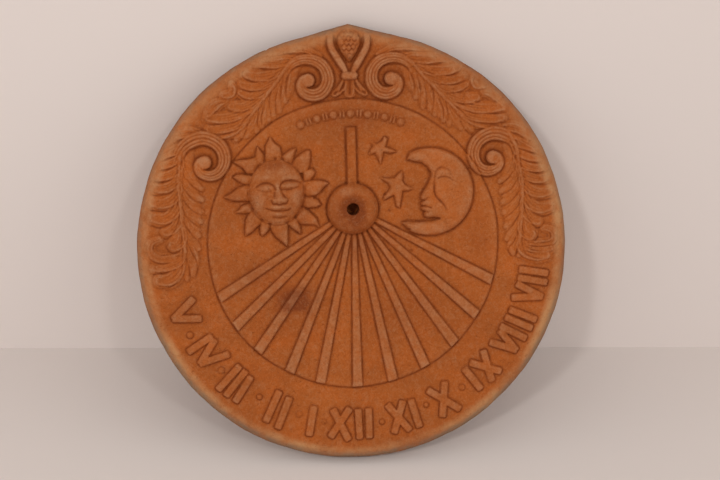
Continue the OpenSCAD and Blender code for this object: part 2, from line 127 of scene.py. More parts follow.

# Stains on the field and the border, with painted shade at the sun's eyes and sides and the hub: place, reach
# across and up, and strength
STAINS_AND_SHADE = [
    (-50, -46, 20, 12, 1.4), (-62, -58, 34, 22, 0.4), (-95, -20, 24, 16, 0.5), (0, 2, 34, 20, 0.7),
    (60, -60, 40, 26, 0.45), (118, 8, 14, 30, 0.4), (-112, 60, 14, 26, 0.35), (20, 118, 60, 9, 0.35),
    (0, 38, 12, 12, 1.6), (-4, 31, 13, 11, 0.9), (-70, 79.5, 20, 5, 1), (-81, 61.5, 7, 3, 0.5),
    (-57.5, 62.8, 7, 3, 0.5), (-94, 40, 6, 16, 0.5), (-46, 42, 6, 18, 0.6), (0, 150, 120, 40, 0.3),
]

# Small pits in the field
PITS = [
    (54, -5), (30, 48.8), (-36, 47), (-6.5, 59.2), (52, 15.2), (33.5, 33.4), (5.4, 60.4), (-71, 84.6),
]

# Each row from here to the cuts holds points as x, z, x, z and so on. First the outlines of the
# stars and of the moon's inner side, from the upper horn down to the lower one.
STARS = {
    "star_small": (
        16.6, 98.8, 24, 96, 28.6, 98.6, 31, 102.4, 34, 100.6, 32.8, 95.6, 32, 93, 38, 90.6, 41.5, 88, 36,
        86.8, 30, 88, 29, 84, 27, 77, 24.6, 82.5, 22, 87.2, 16, 86, 17.2, 90, 20, 93.5, 19.6, 96,
    ),
    "star_large": (
        47, 70, 47.6, 65, 47, 61, 49, 57.5, 56.6, 53.2, 52, 51.4, 47, 51, 46, 45, 44, 35.5, 41, 37, 40, 42,
        38.6, 47.6, 34, 45.6, 28.5, 43, 29.6, 47.4, 33, 51, 35.4, 55, 34, 58.4, 26.2, 64.4, 33, 63.4, 39.6,
        63.8, 43, 67.4,
    ),
}
MOON_PROFILE = (
    51.5, 80.6, 58, 78.6, 65, 77.2, 70, 73.6, 73.4, 68.5, 73.3, 64, 71, 58.5, 67.6, 53, 65, 48.6, 63.6, 45.4,
    63.8, 43.2, 66, 41.9, 64.4, 40.4, 63.8, 38.2, 65.4, 36.6, 63.9, 34.8, 64.8, 33, 67, 31.6, 66.2, 29.2,
    66.8, 26.6, 70, 25.2, 76, 25.5, 80.5, 24.7, 74, 22.8, 62, 22, 51, 22.8, 45.5, 21.5,
)

# Outlines of the sun's leaf-shaped rays, clockwise from the top one, with their roots under the face
RAYS = [
    (-82, 80, -80.5, 86, -79.5, 97, -75, 105, -71, 99.5, -66, 95.5, -64.5, 88, -64, 80),
    (-64, 80, -65, 87, -61, 90, -56, 93, -51, 94, -52.5, 88, -54, 83, -55, 78),
    (-58, 78, -52, 85, -46, 89.6, -41, 91.8, -38.3, 91, -37.8, 85, -39, 77, -42, 70, -50, 70),
    (-46, 74, -40, 74.5, -36.5, 74.5, -33.8, 71, -36, 66.5, -39.5, 63, -46, 62),
    (-48, 64, -40, 64, -31, 63.8, -25, 62.2, -21.8, 60.5, -26, 57, -30, 52, -34.5, 49, -40, 48.4, -48, 50),
    (-48, 50, -40, 48.6, -36, 48.4, -32, 45, -29.3, 40.5, -34, 38.2, -42, 37.8, -48, 40),
    (-52, 40, -46, 39.5, -42, 36.4, -37.4, 32, -33.8, 28, -31.4, 19.4, -36, 21.8, -43, 22.4, -49, 22.8, -54,
     28),
    (-56, 32, -51.5, 27, -49.6, 22, -48.8, 18, -49.5, 14, -53, 16.4, -58, 20, -62, 24, -62, 32),
    (-62, 30, -60.5, 23, -60.8, 15, -61, 8, -62, 2.5, -66, 6.2, -72, 11.2, -75.4, 16, -77.5, 21, -78, 30),
    (-76, 30, -77.5, 21, -79, 18, -82, 15, -85.2, 12.3, -87, 16, -87.2, 20, -86.5, 26, -84, 32),
    (-82, 32, -84.5, 25.4, -90, 21.2, -94, 17.2, -100.8, 13.2, -101, 20, -100.2, 28, -97.6, 34, -92, 42),
    (-92, 34, -96.5, 34.6, -102, 34.4, -109.4, 35.6, -105.4, 38.8, -103.6, 41.6, -99, 43.6, -92, 46),
    (-92, 44, -99, 46, -106, 46.2, -113, 46.8, -119.4, 50, -112, 54.4, -106, 59, -99, 61.4, -92, 62),
    (-92, 60, -98, 60.8, -102, 62, -105.4, 64.2, -110.4, 68.6, -107, 71, -102, 71.4, -97, 70.6, -90, 70),
    (-90, 70, -97.6, 71.6, -101, 76.6, -104.4, 79, -110.2, 82.8, -104, 84.4, -96, 85, -89, 86.8, -84, 82),
    (-90, 78, -89.5, 86, -88.5, 91, -87, 96, -84, 92.5, -81, 89, -80.5, 84, -80, 78),
]

# Swellings of the sun's face and the moon's: place, reach across and up, and height
SUN_SWELLS = [
    # Forehead, eye sockets and full lids
    (-70.5, 72, 15, 6.5, 0.9), (-81.5, 59.5, 8.5, 5.5, -2.2), (-57, 60.5, 9, 5.5, -2.2),
    (-80.5, 58.4, 6.4, 3.2, 2.7), (-58.5, 60.2, 7.2, 2.8, 2.6),
    # Tip of the nose and nostrils
    (-67.6, 46, 3.2, 2.8, 1.3), (-72.6, 46.4, 2.4, 2.1, 1.5), (-62.8, 46.6, 2.4, 2.1, 1.5),
    # Round cheeks, lips and chin
    (-87, 48, 7.5, 9, 1.5), (-52.6, 48.5, 7, 9, 1.5), (-68, 40.2, 8, 1.8, 1.3), (-68, 33.4, 6.5, 1.7, 1.1),
    (-68, 25.8, 6.5, 3.4, 1.2),
]
MOON_SWELLS = [
    # Nose side, lid and cheek
    (71.5, 57, 4.0, 9, 0.5), (86, 64.4, 7.0, 4.4, -0.5), (84.4, 67.4, 5.2, 3.2, 1.3), (86.5, 48, 8, 9, 0.9),
    # Nostril, lips and chin
    (69.4, 47, 3.0, 2.8, 0.8), (69, 40.6, 3.4, 1.6, 0.7), (69.4, 33.8, 3.4, 1.5, 0.5),
    (70.4, 28, 3.4, 2.4, 0.8),
]

# Lines pressed into the clay: depth, width, dirt and painted shade, then the points. A depth below zero raises
# a fold.
SUN_LINES = [
    # Brows
    (-0.55, 2.0, 0, -85, 66.6, -80, 68.6, -75, 67), (-0.55, 2.0, 0, -66, 66.6, -59, 68.4, -51, 65.8),
    # Closed, smiling eyes under an arched line
    (1.0, 0.9, 0.25, -89, 59.4, -84, 62, -78, 62.6, -73.6, 60.4, -71.4, 56.6),
    (1.0, 0.9, 0.25, -67.4, 58.4, -66, 62, -61.6, 64.4, -54, 64.2, -47.5, 62),
    (0.5, 1.0, 0, -88, 56.6, -82, 54.8, -76, 55.4), (0.7, 0.9, 0.1, -66.8, 57, -60, 56.4, -50, 58.6),
    # Ridge and tip of the nose, and the lines beside and below it
    (-1.2, 2.6, 0, -69.4, 61, -69, 56, -68.4, 51), (-2.2, 3.4, 0, -68.4, 52, -67.8, 47.6),
    (1.0, 0.8, 0.3, -75.4, 46.6, -74.2, 43.6, -71, 43.4, -68, 42.4, -65, 43.4, -61.6, 43.8, -60.2, 46.6),
    (0.5, 0.9, 0.2, -72.2, 54, -72.8, 50.6), (0.6, 0.9, 0.3, -66.6, 57, -64.2, 51.4, -61, 48),
    # Folds of the cheeks, mouth, and the hollow over the chin
    (0.5, 1.6, 0, -79, 49, -82, 44, -82.6, 39), (0.5, 1.6, 0, -58.6, 48, -56, 44, -55.4, 39),
    (1.1, 0.8, 0.3, -80.5, 39.4, -75, 37.4, -68, 36.6, -61, 37.2, -58, 38.6),
    (0.8, 1.3, 0.15, -74, 30.8, -68, 30, -62.4, 31),
]
MOON_LINES = [
    # Round the eye and the cheek
    ([0.3, 0.6, 0.7, 0.7, 0.8, 1.1, 1.3, 1.4, 1.3, 1.0, 0.4], 1.4, 0.2, 91.6, 68.6, 88, 71.6, 83.6, 72.8,
     79.6, 71, 77.6, 67.4, 76.8, 62.6, 76.3, 57, 76.4, 50, 78.2, 45, 82, 41, 85, 37.6, 87, 33.4),
    # Lid with its folds
    (0.6, 0.9, 0.12, 80, 62.6, 84, 64, 89, 63.4, 93.6, 60.6),
    (0.3, 0.8, 0.05, 89, 67.6, 92, 65.6, 94.4, 62.8), (0.22, 0.8, 0, 88, 60.4, 92, 58.8, 95.4, 55.6),
    # Nostril, mouth and chin
    (0.6, 0.8, 0.2, 66, 42, 68.6, 43.2, 70.2, 45.4), (0.9, 0.8, 0.25, 65.2, 36.7, 69, 36.4, 73, 35.2),
    (0.6, 0.8, 0.1, 66.6, 31.4, 70, 31),
]
STEM = (3.6, 163.5, 7, 169.5, 11.4, 177, 15.6, 184.4, 17, 190.5, 16.8, 196.5)
TASSEL_LINES = [
    # Raised edges of the three petals
    (-1.25, 0.85, 0, -6.6, 154, -9, 148.4, -12, 143, -15.2, 140.6, -17.2, 142.4),
    (-1.25, 0.85, 0, 6.2, 154, 8.8, 148.4, 11.8, 143, 14.8, 140.6, 16.8, 142.4),
    (-1.25, 0.85, 0, -3.9, 154, -4.4, 148, -4.8, 142.6, -3, 139.9, 0, 139.3, 3, 140, 4.4, 142.8,
     4, 148, 3.5, 154),
    # Hollows down their middles
    (1.0, 1.1, 0.35, -4.6, 153, -7, 148.8, -10.4, 145.2, -13.6, 143.6),
    (1.0, 1.1, 0.35, 4.4, 153, 6.8, 148.8, 10.2, 145.2, 13.4, 143.6),
    (1.0, 1.1, 0.35, 0, 153, -0.1, 148, -0.2, 143.4),
]

# Petals of the tassel and lobes of the leaves: width, then the centre line from root to tip. The
# leaves are drawn for the right half at the top and for the left half, turned over, at the side.
# The cuts are the dark lines along and between the lobes.
PETALS = [
    (7.4, -3.2, 160, -6.2, 151, -10, 146, -13.6, 143.4), (7.4, 3.2, 160, 6.4, 151, 10.2, 146, 13.4, 143.4),
    (9.4, 0, 160, 0, 152, -0.2, 147, -0.2, 143.2),
]
TOP_OUTER = [
    (5, 28, 178, 40, 183.2, 56, 184.4, 72, 182.4, 86, 178.6), (5.5, 50, 177, 60, 178.6, 72, 178.4, 84, 177),
    (7, 57, 173.5, 70, 172, 83, 173, 94, 172.8), (10, 62, 168, 75, 162.8, 90, 162, 101, 165),
    (8, 72, 159, 84, 154, 96, 153, 105.5, 155.6), (7, 80, 151, 90, 145.6, 100, 145.4, 108, 148.6),
    (9, 88, 143, 98, 137.4, 108, 135.2, 118, 136.6), (6.5, 117, 157, 115.6, 151.6, 118.6, 147.6, 125, 147),
    (8, 124, 141, 131, 140, 137.6, 136, 142, 131), (10, 97, 134, 110, 128.4, 126, 126, 142, 127.4),
    (9.5, 103, 125, 115, 119, 130, 116.6, 141, 117), (6, 108, 118, 118, 112.6, 128, 110.4, 138, 110.6),
]
TOP_INNER = [
    (6, 56, 172, 59, 158, 61, 147, 61.5, 138), (6.5, 61, 166, 65.5, 152, 67.5, 141, 67.8, 129),
    (6, 67, 159, 71.5, 147, 73.6, 137, 74, 127), (6, 73, 152, 77.6, 142, 79.4, 133, 79, 122),
    (6.5, 79, 146, 84, 136, 86.4, 127, 86.6, 116), (6.5, 86, 139, 90, 130, 92.4, 121, 92, 112),
    (7.5, 92, 132, 96, 124, 98.6, 117, 103, 108.6), (10, 98, 126, 106, 118, 111, 111, 113.6, 107),
]
TOP_RIB = (47, 177, 58, 170, 68, 158.5, 78, 147.5, 88, 137, 98, 126.5, 106, 117)
TOP_CUTS = [
    (58, 160, 60, 150, 60, 139), (62, 160, 65.4, 148, 65.6, 131), (69, 150, 71.4, 139, 71.4, 127),
    (74, 152, 78, 141, 76.6, 124), (83, 136, 86.8, 125, 86, 113), (89, 133, 91, 122, 90.4, 111),
    (101, 124, 103, 114, 108, 105.4, 113, 102.2, 118, 103, 119, 107),
    (70, 163, 80, 158.3, 92, 157.6, 101, 160, 105.6, 164), (74, 155.6, 86, 149.7, 98, 148.8, 109, 152.4),
    (83, 147, 94, 141.4, 103, 141.8, 110, 146), (92, 137, 104, 131, 116, 130.8, 123, 135, 120, 139.6),
    (100, 128, 113, 122.8, 130, 121, 143, 121.8, 148.6, 127.6), (106, 120, 118, 113.4, 132, 111.4, 144, 113),
    (60, 170, 75, 167.4, 86, 169.4, 96, 172.6), (34, 179.4, 55, 180.6, 75, 180, 90, 180.4),
    (112, 106.6, 124, 106.6, 136, 106.8, 144, 109),
]
SIDE_OUTER = [
    (8.5, 138, 109, 150, 111, 161, 108, 170, 101), (8, 146, 103, 158, 102.4, 168, 97.6, 175, 92),
    (6.5, 153, 97, 163, 93.6, 172, 90.6, 180, 87.4), (7, 157, 89, 166, 83.6, 175, 80.8, 183, 80),
    (8, 158, 80, 167, 73, 177, 70.6, 186, 71.4), (9, 160, 70, 168, 62, 178, 59.6, 186.5, 61.8),
    (10.5, 161, 58, 167, 49.4, 176, 45.8, 186, 47), (12, 162, 46, 167, 36.6, 175, 31.6, 185, 32.6),
    (9.5, 161, 34, 164, 26, 169, 20.8, 174, 18.8),
    (7, 180, 12.4, 187.4, 9.4, 189.4, 3, 186, -3.6, 178.6, -6.2, 169, -5.4, 161, -3),
    (9.5, 159, 17, 160.6, 9, 166.4, 5, 168.6, 7), (7.5, 160, -6, 168, -12, 177, -14.4, 186, -14.6),
    (13, 159, -8, 164, -18, 172, -25, 181, -26),
]
SIDE_INNER = [
    (8, 157, 84, 154, 73, 148, 64, 140, 58.6), (8, 158, 72, 155, 62, 149, 54, 140, 48.6),
    (8, 159, 60, 156, 50, 149, 42.6, 141, 37.6), (8, 159, 50, 155, 40, 149, 33, 142, 28),
    (8, 159, 38, 155, 28, 150, 21, 144, 15), (7.5, 158, 26, 153, 16, 149, 9, 144.6, 3),
    (8, 157, 12, 152, 2, 149.4, -8, 150.6, -21), (7.5, 157, 6, 157.6, -5, 157.6, -15, 156, -25),
]
SIDE_RIB = (150, 106, 158, 92, 160, 75, 161, 60, 160, 45, 159.5, 30, 158, 15, 156.5, 0)
SIDE_CUTS = [
    (161, 66, 166, 57.6, 173, 54.2, 184, 53.8), (163, 50, 168, 41.6, 175, 38.6, 187, 39.6),
    (164, 38, 167, 30, 174, 25, 182, 23.4, 188, 26.6), (162, 29, 166, 20.4, 172, 13.6, 177.5, 13.6, 180, 18),
    (161, 14, 160.6, 4, 165, -0.4, 170.6, 0, 174, 5, 171.6, 10), (186, 7, 186.4, 1, 182, -2.6, 173, -2),
    (193, 8, 192.4, -2, 187, -8, 176, -10.4, 165, -8), (160, -12, 162, -22, 167, -29, 174, -33, 184, -33.4),
    (167, -16, 176, -19, 187, -19.6), (160.5, 86, 161.2, 62), (153, 68, 147, 60.4, 139, 55),
    (155, 58, 149, 49.6, 139, 44), (156, 48, 150, 39.4, 141, 33.4), (157, 36, 150, 28.2, 142, 22),
    (156, 24, 150, 16, 144.6, 9.6), (155, 10, 151, 0, 146.8, -9, 146, -16, 148.4, -26),
    (156, -6, 154, -16, 154, -28), (158, 92, 166, 88.4, 178, 84), (159, 78, 167, 68.4, 177, 65.6, 187, 66.6),
    (158, 84, 168, 78, 178, 76), (150, 106.4, 160, 103, 172, 97), (152, 100, 164, 96.8, 176, 91),
]

# Distance from the hub's centre and height over the dial field
HUB_SECTION = [
    (5.2, 6), (6.6, 6.5), (8.5, 7.2), (11, 8.1), (14, 8.6), (17, 8.1), (19.5, 6.7), (21.5, 4.8), (23, 2.6),
    (23.8, 1), (24.6, 0),
]

# Turn, centre-line radius and width of a volute's band from its eye outwards
TOP_VOLUTE = [
    (90, 2, 7), (180, 5.5, 9), (225, 8.5, 10.5), (270, 11.5, 12), (315, 15.5, 12.5), (360, 18.2, 12.5),
    (405, 19.8, 11.5), (450, 20.3, 10.5), (495, 22, 9), (520, 24.5, 7),
]
SIDE_VOLUTE = [
    (90, 2, 7), (180, 5, 9), (270, 10.5, 10), (315, 14.5, 11), (360, 18, 12), (405, 21.2, 13),
    (450, 23.5, 14), (480, 24, 14), (520, 25.5, 11), (545, 28, 8),
]

# Low waves along the rim: height, waves in a turn over 2 pi, and start
RIM_WAVES = ((0.22, 7, 1.0), (0.16, 17, 2.0), (0.10, 41, 0.0), (0.05, 97, 0.0))

# The plaque leans back this many degrees, on a floor that is turned this much in the picture
LEAN, STAGE_ROLL = 25.0, 2.0

# The camera's place in metres, its turns in degrees and its lens, from a fit to the plaque's outline
CAMERA_PLACE, CAMERA_TURN = (-0.0804462, -1.399376, 0.1699462), (83.305659, 1.372617, -3.756068)
LENS = 75.0

DAYLIGHT = (0.94, 0.98, 1.0)
LAMP_SIZE = 0.29
LAMPS = (("left_lamp", (-1.05, -2.82, 0.78), 21.0), ("right_lamp", (0.74, -2.92, 0.80), 10.0))

GROUND, RELIEF = "fired_clay_ground", "fired_clay_relief"

# Name, use and number of the facets round each turned piece, and their least and greatest number
FACETS = {
    "round_steps": ("Rim steps", "Facets round the plaque", 860, 120, 1200),
    "field_steps": ("Field steps", "Facets round the dial field", 480, 96, 720),
    "hub_steps": ("Hub steps", "Facets round the hub", 160, 32, 240),
}

# Name, use and screen colour of each tone of the clay
TONES = {
    "deep": ("Deep clay", "Browner clay", 146, 75, 31),
    "warm": ("Warm clay", "Main clay", 162, 84, 34),
    "orange": ("Orange clay", "Brighter blotches", 176, 86, 30),
    # Pale dust, which on the crowns also serves as painted highlight
    "dust": ("Dust", "Pale dust on worn crowns", 172, 120, 84),
    # Dark stains, which on the sun's face and the hub also serve as painted shade
    "stain_and_shade": ("Stain", "Dark stains on the field", 116, 54, 24),
    # Dirt in the hollows, which also serves as painted shade in the creases and pits
    "hollow": ("Hollows", "Dirt in the hollows", 106, 44, 14),
    "bloom": ("Rim bloom", "Pale bloom on the rim", 180, 132, 88),
    "grime": ("Edge grime", "Grey of the outermost edge", 122, 98, 78),
}


def smooth(value, low, high):
    """Soft step from 0 at low to 1 at high."""
    t = np.clip((value - low) / (high - low), 0.0, 1.0)
    return t * t * (3.0 - 2.0 * t)


def bell(value, width):
    """Bell curve, 1 where the value is 0."""
    return np.exp(-(value / width) ** 2)


def spot(x, z, cx, cz, rx, rz):
    """Soft oval spot, 1 in its middle."""
    return np.exp(-(((x - cx) / rx) ** 2 + ((z - cz) / rz) ** 2))


def spread(along, values):
    """Value at a share of the way, for values spread evenly from the start to the end."""
    values = np.atleast_1d(values)
    return np.interp(along, np.linspace(0, 1, len(values)), values)


def round_over(u):
    return np.sqrt(np.clip(1.0 - u * u, 0.0, 1.0))


def flat_over(u, power=4.0):
    return np.sqrt(np.clip(1.0 - np.abs(u) ** power, 0.0, 1.0))


def pairs(numbers):
    """Points from a row of numbers."""
    return list(zip(numbers[::2], numbers[1::2]))


def soften(field, reach):
    """Spreads a map with a bell of the given reach in millimetres."""
    sigma = reach / STEP
    half = int(3.0 * sigma) + 1
    weights = np.exp(-0.5 * (np.arange(-half, half + 1) / sigma) ** 2)
    weights /= weights.sum()
    rows, columns = field.shape
    wide = np.pad(field, ((0, 0), (half, half)), mode="edge")
    field = sum(k * wide[:, i:i + columns] for i, k in enumerate(weights))
    tall = np.pad(field, ((half, half), (0, 0)), mode="edge")
    return sum(k * tall[i:i + rows, :] for i, k in enumerate(weights))


def between(field, r, c):
    """Values of a grid at places between its points, given in rows and columns."""
    r0, c0 = r.astype(int), c.astype(int)
    fr, fc = r - r0, c - c0
    return (
        field[r0, c0] * (1 - fc) * (1 - fr) + field[r0, c0 + 1] * fc * (1 - fr)
        + field[r0 + 1, c0] * (1 - fc) * fr + field[r0 + 1, c0 + 1] * fc * fr
    )


def sample(field, x, z):
    """Value of a map at places in millimetres."""
    return between(
        field, np.clip((z - LOW) / STEP, 0, ROWS - 1.001), np.clip((x - LEFT) / STEP, 0, COLUMNS - 1.001)
    )


def unevenness(seed, reach):
    """Even random waves of about the given reach, from the same seed each time."""
    coarse = max(1, int(reach / STEP / 3))
    grains = np.random.RandomState(seed).standard_normal((ROWS // coarse + 2, COLUMNS // coarse + 2))
    full = between(grains, np.arange(ROWS)[:, None] / coarse, np.arange(COLUMNS)[None, :] / coarse)
    full = soften(full, reach)
    return full / full.std()


def on_slab(x, z):
    """Place on the slab of a point drawn on the front."""
    return x * SCALE, z * SCALE + LIFT


class Window:
    """A part of the clay map, with the place of each of its points."""

    def __init__(self, x0, z0, x1, z1):
        (x0, z0), (x1, z1) = on_slab(x0, z0), on_slab(x1, z1)
        c0, c1 = max(int((x0 - LEFT) / STEP), 0), min(int((x1 - LEFT) / STEP) + 2, COLUMNS)
        r0, r1 = max(int((z0 - LOW) / STEP), 0), min(int((z1 - LOW) / STEP) + 2, ROWS)
        self.at = (slice(r0, r1), slice(c0, c1))
        self.x, self.z = np.meshgrid(
            (LEFT + STEP * np.arange(c0, c1)) / SCALE, (LOW + STEP * np.arange(r0, r1) - LIFT) / SCALE
        )

    def reach(self, x, z):
        """Distance of each point from a place."""
        return np.hypot(self.x - x, self.z - z)


def around(points, margin):
    """Window round some points."""
    xs, zs = [p[0] for p in points], [p[1] for p in points]
    return Window(min(xs) - margin, min(zs) - margin, max(xs) + margin, max(zs) + margin)


def follow(path, x, z):
    """For each point its distance to a path, how far along the path it is from 0 to 1, and its side."""
    path = np.asarray(path, float)
    runs = np.hypot(*(path[1:] - path[:-1]).T)
    starts = np.concatenate([[0.0], np.cumsum(runs)]) / runs.sum()
    near = np.full(x.shape, 1e9)
    along, side = np.zeros(x.shape), np.zeros(x.shape)
    for a, b, run, s0, s1 in zip(path[:-1], path[1:], runs, starts[:-1], starts[1:]):
        dx, dz = (b - a) / run
        t = np.clip((x - a[0]) * dx + (z - a[1]) * dz, 0.0, run)
        px, pz = x - a[0] - t * dx, z - a[1] - t * dz
        reach = np.hypot(px, pz)
        closer = reach < near
        near = np.where(closer, reach, near)
        along = np.where(closer, s0 + (s1 - s0) * t / run, along)
        side = np.where(closer, np.sign(dx * pz - dz * px), side)
    return near, along, side


def boxy(stroke, x, z):
    """Distance to a straight stroke whose ends are nearly square and stop 1.9 short of their points."""
    ax, az, bx, bz = stroke
    run = math.hypot(bx - ax, bz - az)
    dx, dz = (bx - ax) / run, (bz - az) / run
    s = (x - ax) * dx + (z - az) * dz
    t = np.abs((z - az) * dx - (x - ax) * dz)
    over = np.maximum(np.maximum(-s, s - run) + 1.9, 0.0)
    return (t ** 4 + over ** 4) ** 0.25


def curve(points):
    """Points of a smooth curve that passes through the given ones, five to each stretch."""
    p = [np.asarray(q, float) for q in points]
    p = [2 * p[0] - p[1]] + p + [2 * p[-1] - p[-2]]
    line = []
    for a, b, c, d in zip(p, p[1:], p[2:], p[3:]):
        for t in np.arange(5) / 5:
            bend = (a - 2.5 * b + 2 * c - 0.5 * d) * t * t + (1.5 * b - 0.5 * a - 1.5 * c + 0.5 * d) * t ** 3
            line.append(b + 0.5 * (c - a) * t + bend)
    return line + [p[-2]]


def beside(path, gap):
    """A path moved sideways by a gap, without its last point."""
    return [
        p + np.array((p[1] - q[1], q[0] - p[0])) / np.hypot(*(q - p)) * gap for p, q in zip(path, path[1:])
    ]


def within(outline, x, z):
    """Distance inwards from a closed outline, below zero outside it."""
    inside = np.zeros(x.shape, bool)
    for (x0, z0), (x1, z1) in zip(outline, outline[1:] + outline[:1]):
        if z0 != z1:
            inside ^= ((z0 > z) != (z1 > z)) & (x < (x1 - x0) * (z - z0) / (z1 - z0) + x0)
    near, _, _ = follow(outline + outline[:1], x, z)
    return np.where(inside, near, -near)


def edge_distance(x, z):
    """Distance inwards from the plaque's outline, which is round with a pointed top."""
    r = np.hypot(x, z)
    lean = np.abs(np.arctan2(x, z))
    return np.where(lean < PEAK_A, PLAQUE_R - r * np.cos(PEAK_A - lean), PLAQUE_R - r)


class ClayMap:
    """Height of the plaque's front over the wall, and which piece each part of it belongs to."""

    def __init__(self):
        self.x, self.z = np.meshgrid(LEFT + STEP * np.arange(COLUMNS), LOW + STEP * np.arange(ROWS))
        self.owner = np.zeros(self.x.shape, int)
        self.pieces = ["ground"]
        self.edge = edge_distance(self.x, self.z)
        self.seat = self.ground()
        self.height = self.seat.copy()
        self.carved = np.zeros_like(self.seat)
        # Darkening laid along pressed lines and pits: dirt together with painted shade
        self.dirt_and_shade = np.zeros_like(self.seat)
        self.wear = np.clip(0.8 + 0.4 * unevenness(31, 11.0) + 0.18 * unevenness(32, 3.5), 0.2, 1.3)

    def ground(self):
        """The border with its rounded rim, and the raised dial field with its rolled edge."""
        over = np.clip(RIM_R - self.edge, 0.0, RIM_R)
        self.waves = (
            0.30 * unevenness(11, 26.0) + 0.13 * unevenness(12, 9.0) + 0.045 * unevenness(13, 2.2)
            + 0.02 * unevenness(14, 0.9)
        )
        border = PLAQUE_T - RIM_R + np.sqrt(RIM_R ** 2 - over ** 2) + self.waves
        cx, cz = on_slab(0, FIELD_Z)
        self.reach = FIELD_R * SCALE - np.hypot(self.x - cx, self.z - cz) + 0.25 * unevenness(15, 14.0)
        rise = FIELD_H * round_over(1.0 - np.clip(self.reach / 3.0, 0.0, 1.0))
        self.border = border - 0.8 * bell(self.reach + 0.5, 0.8)
        return np.where(self.reach > 0, border + rise, self.border)

    def lay(self, name, window, relief, inside=True):
        """Lays a piece on its seat, inside its outline, where its relief rises over what is there."""
        if name not in self.pieces:
            self.pieces.append(name)
        area, owner = self.height[window.at], self.owner[window.at]
        relief = np.where(inside, relief, 0.0) * smooth(self.edge[window.at], 3.0, 10.0)
        top = self.seat[window.at] + relief
        owner[(relief > 0.06) & (top > area)] = self.pieces.index(name)
        area[:] = np.where(relief > 0, np.maximum(area, top), area)

    def named(self, *starts):
        """Names of the laid pieces that begin so."""
        return [name for name in self.pieces if name.startswith(starts)]

    def lies(self, names):
        """Where the named pieces lie."""
        return np.isin(self.owner, [self.pieces.index(name) for name in names])

    def mask(self, names):
        """Where the named pieces lie, with the crease round their foot."""
        own = self.lies(names)
        near = soften(own.astype(float), 1.1) > 0.12
        return own | (near & (self.owner == 0))

    def work(self, window, change):
        """Presses or builds up what is already laid."""
        self.carved[window.at] += change

    def groove(self, path, depth, width, dirt_and_shade=0.0):
        """Presses a soft line into the clay, with dirt and painted shade in it. The depth may change along the
        path.
        """
        window = around(path, 4 * width)
        near, along, _ = follow(path, window.x, window.z)
        line = bell(near, width)
        self.work(window, -spread(along, depth) * line)
        self.dirt_and_shade[window.at] = np.maximum(self.dirt_and_shade[window.at], dirt_and_shade * line)

    def crease(self, window, near, depth, width):
        """Crease round a piece, here deeper and there worn away. near is the distance from its middle."""
        self.work(window, -depth * self.wear[window.at] * bell(near, width))

    def swell(self, x, z, rx, rz, height):
        window = around([(x, z)], 3 * max(rx, rz))
        self.work(window, height * spot(window.x, window.z, x, z, rx, rz))

    def model(self, swells, lines):
        """Works a table of swellings and a table of lines into the clay."""
        for swelling in swells:
            self.swell(*swelling)
        for depth, width, dirt_and_shade, *row in lines:
            self.groove(curve(pairs(row)), depth, width, dirt_and_shade)

    def close(self):
        """Rounds everything the way a mould does and works out hollows, darkened with dirt and painted shade,
        and worn crowns, paled with dust and painted highlight.
        """
        self.carved *= smooth(self.edge, 2.5, 9.0)
        self.height = soften(self.height + self.carved, 0.42)
        self.seat = soften(self.seat + np.minimum(self.carved, 0.0), 0.42)
        # Hollows are darker than the clay round them: dirt together with painted shade in the creases
        fine, mid, broad = [soften(self.height, reach) for reach in (0.9, 2.2, 5.0)]
        self.hollow = np.clip(self.dirt_and_shade + sum(
            strength * np.clip((soft - self.height) / full, 0, 1)
            for soft, full, strength in ((fine, 0.36, 0.9), (mid, 1.0, 0.22), (broad, 2.2, 0.15))
        ), 0, 1)
        # Tops, leaf ridges, the outer ends of the hour lines and the listed spots are paler: dust together with
        # painted highlight
        dust_and_highlight = sum(k * self.lies([name]) for name, k in PIECE_DUST_AND_HIGHLIGHT.items())
        dust_and_highlight = dust_and_highlight + sum(k * spot(self.x, self.z, *on_slab(x, z), rx, rz) for x, z, rx, rz, k in SPOT_DUST_AND_HIGHLIGHT)
        on_line, on_leaf = self.lies(self.named("hour_line")), self.lies(self.named("scroll"))
        dust_and_highlight = dust_and_highlight + 0.3 * on_line * smooth(np.hypot(self.x, self.z - HUB_Z), 70, 150)
        ridges = np.clip((self.height - soften(self.height, 1.5)) / 0.2, 0, 1) * on_leaf
        self.crown = np.clip(soften(dust_and_highlight, 0.8) + 0.24 * ridges + 0.30 * (
            np.clip((self.height - mid) / 0.8, 0, 1) + np.clip((self.height - broad) / 1.5, 0, 1)
        ), 0, 1)


def lay_hub(clay):
    window = around([(0, HUB_Z)], 30)
    r = window.reach(0, HUB_Z)
    section = np.array(curve(HUB_SECTION))
    clay.lay("hub_boss", window, np.interp(r, section[:, 0], section[:, 1]), r < HUB_R + 0.3)
    clay.work(window, -0.7 * bell(r - HUB_R - 0.9, 0.9))


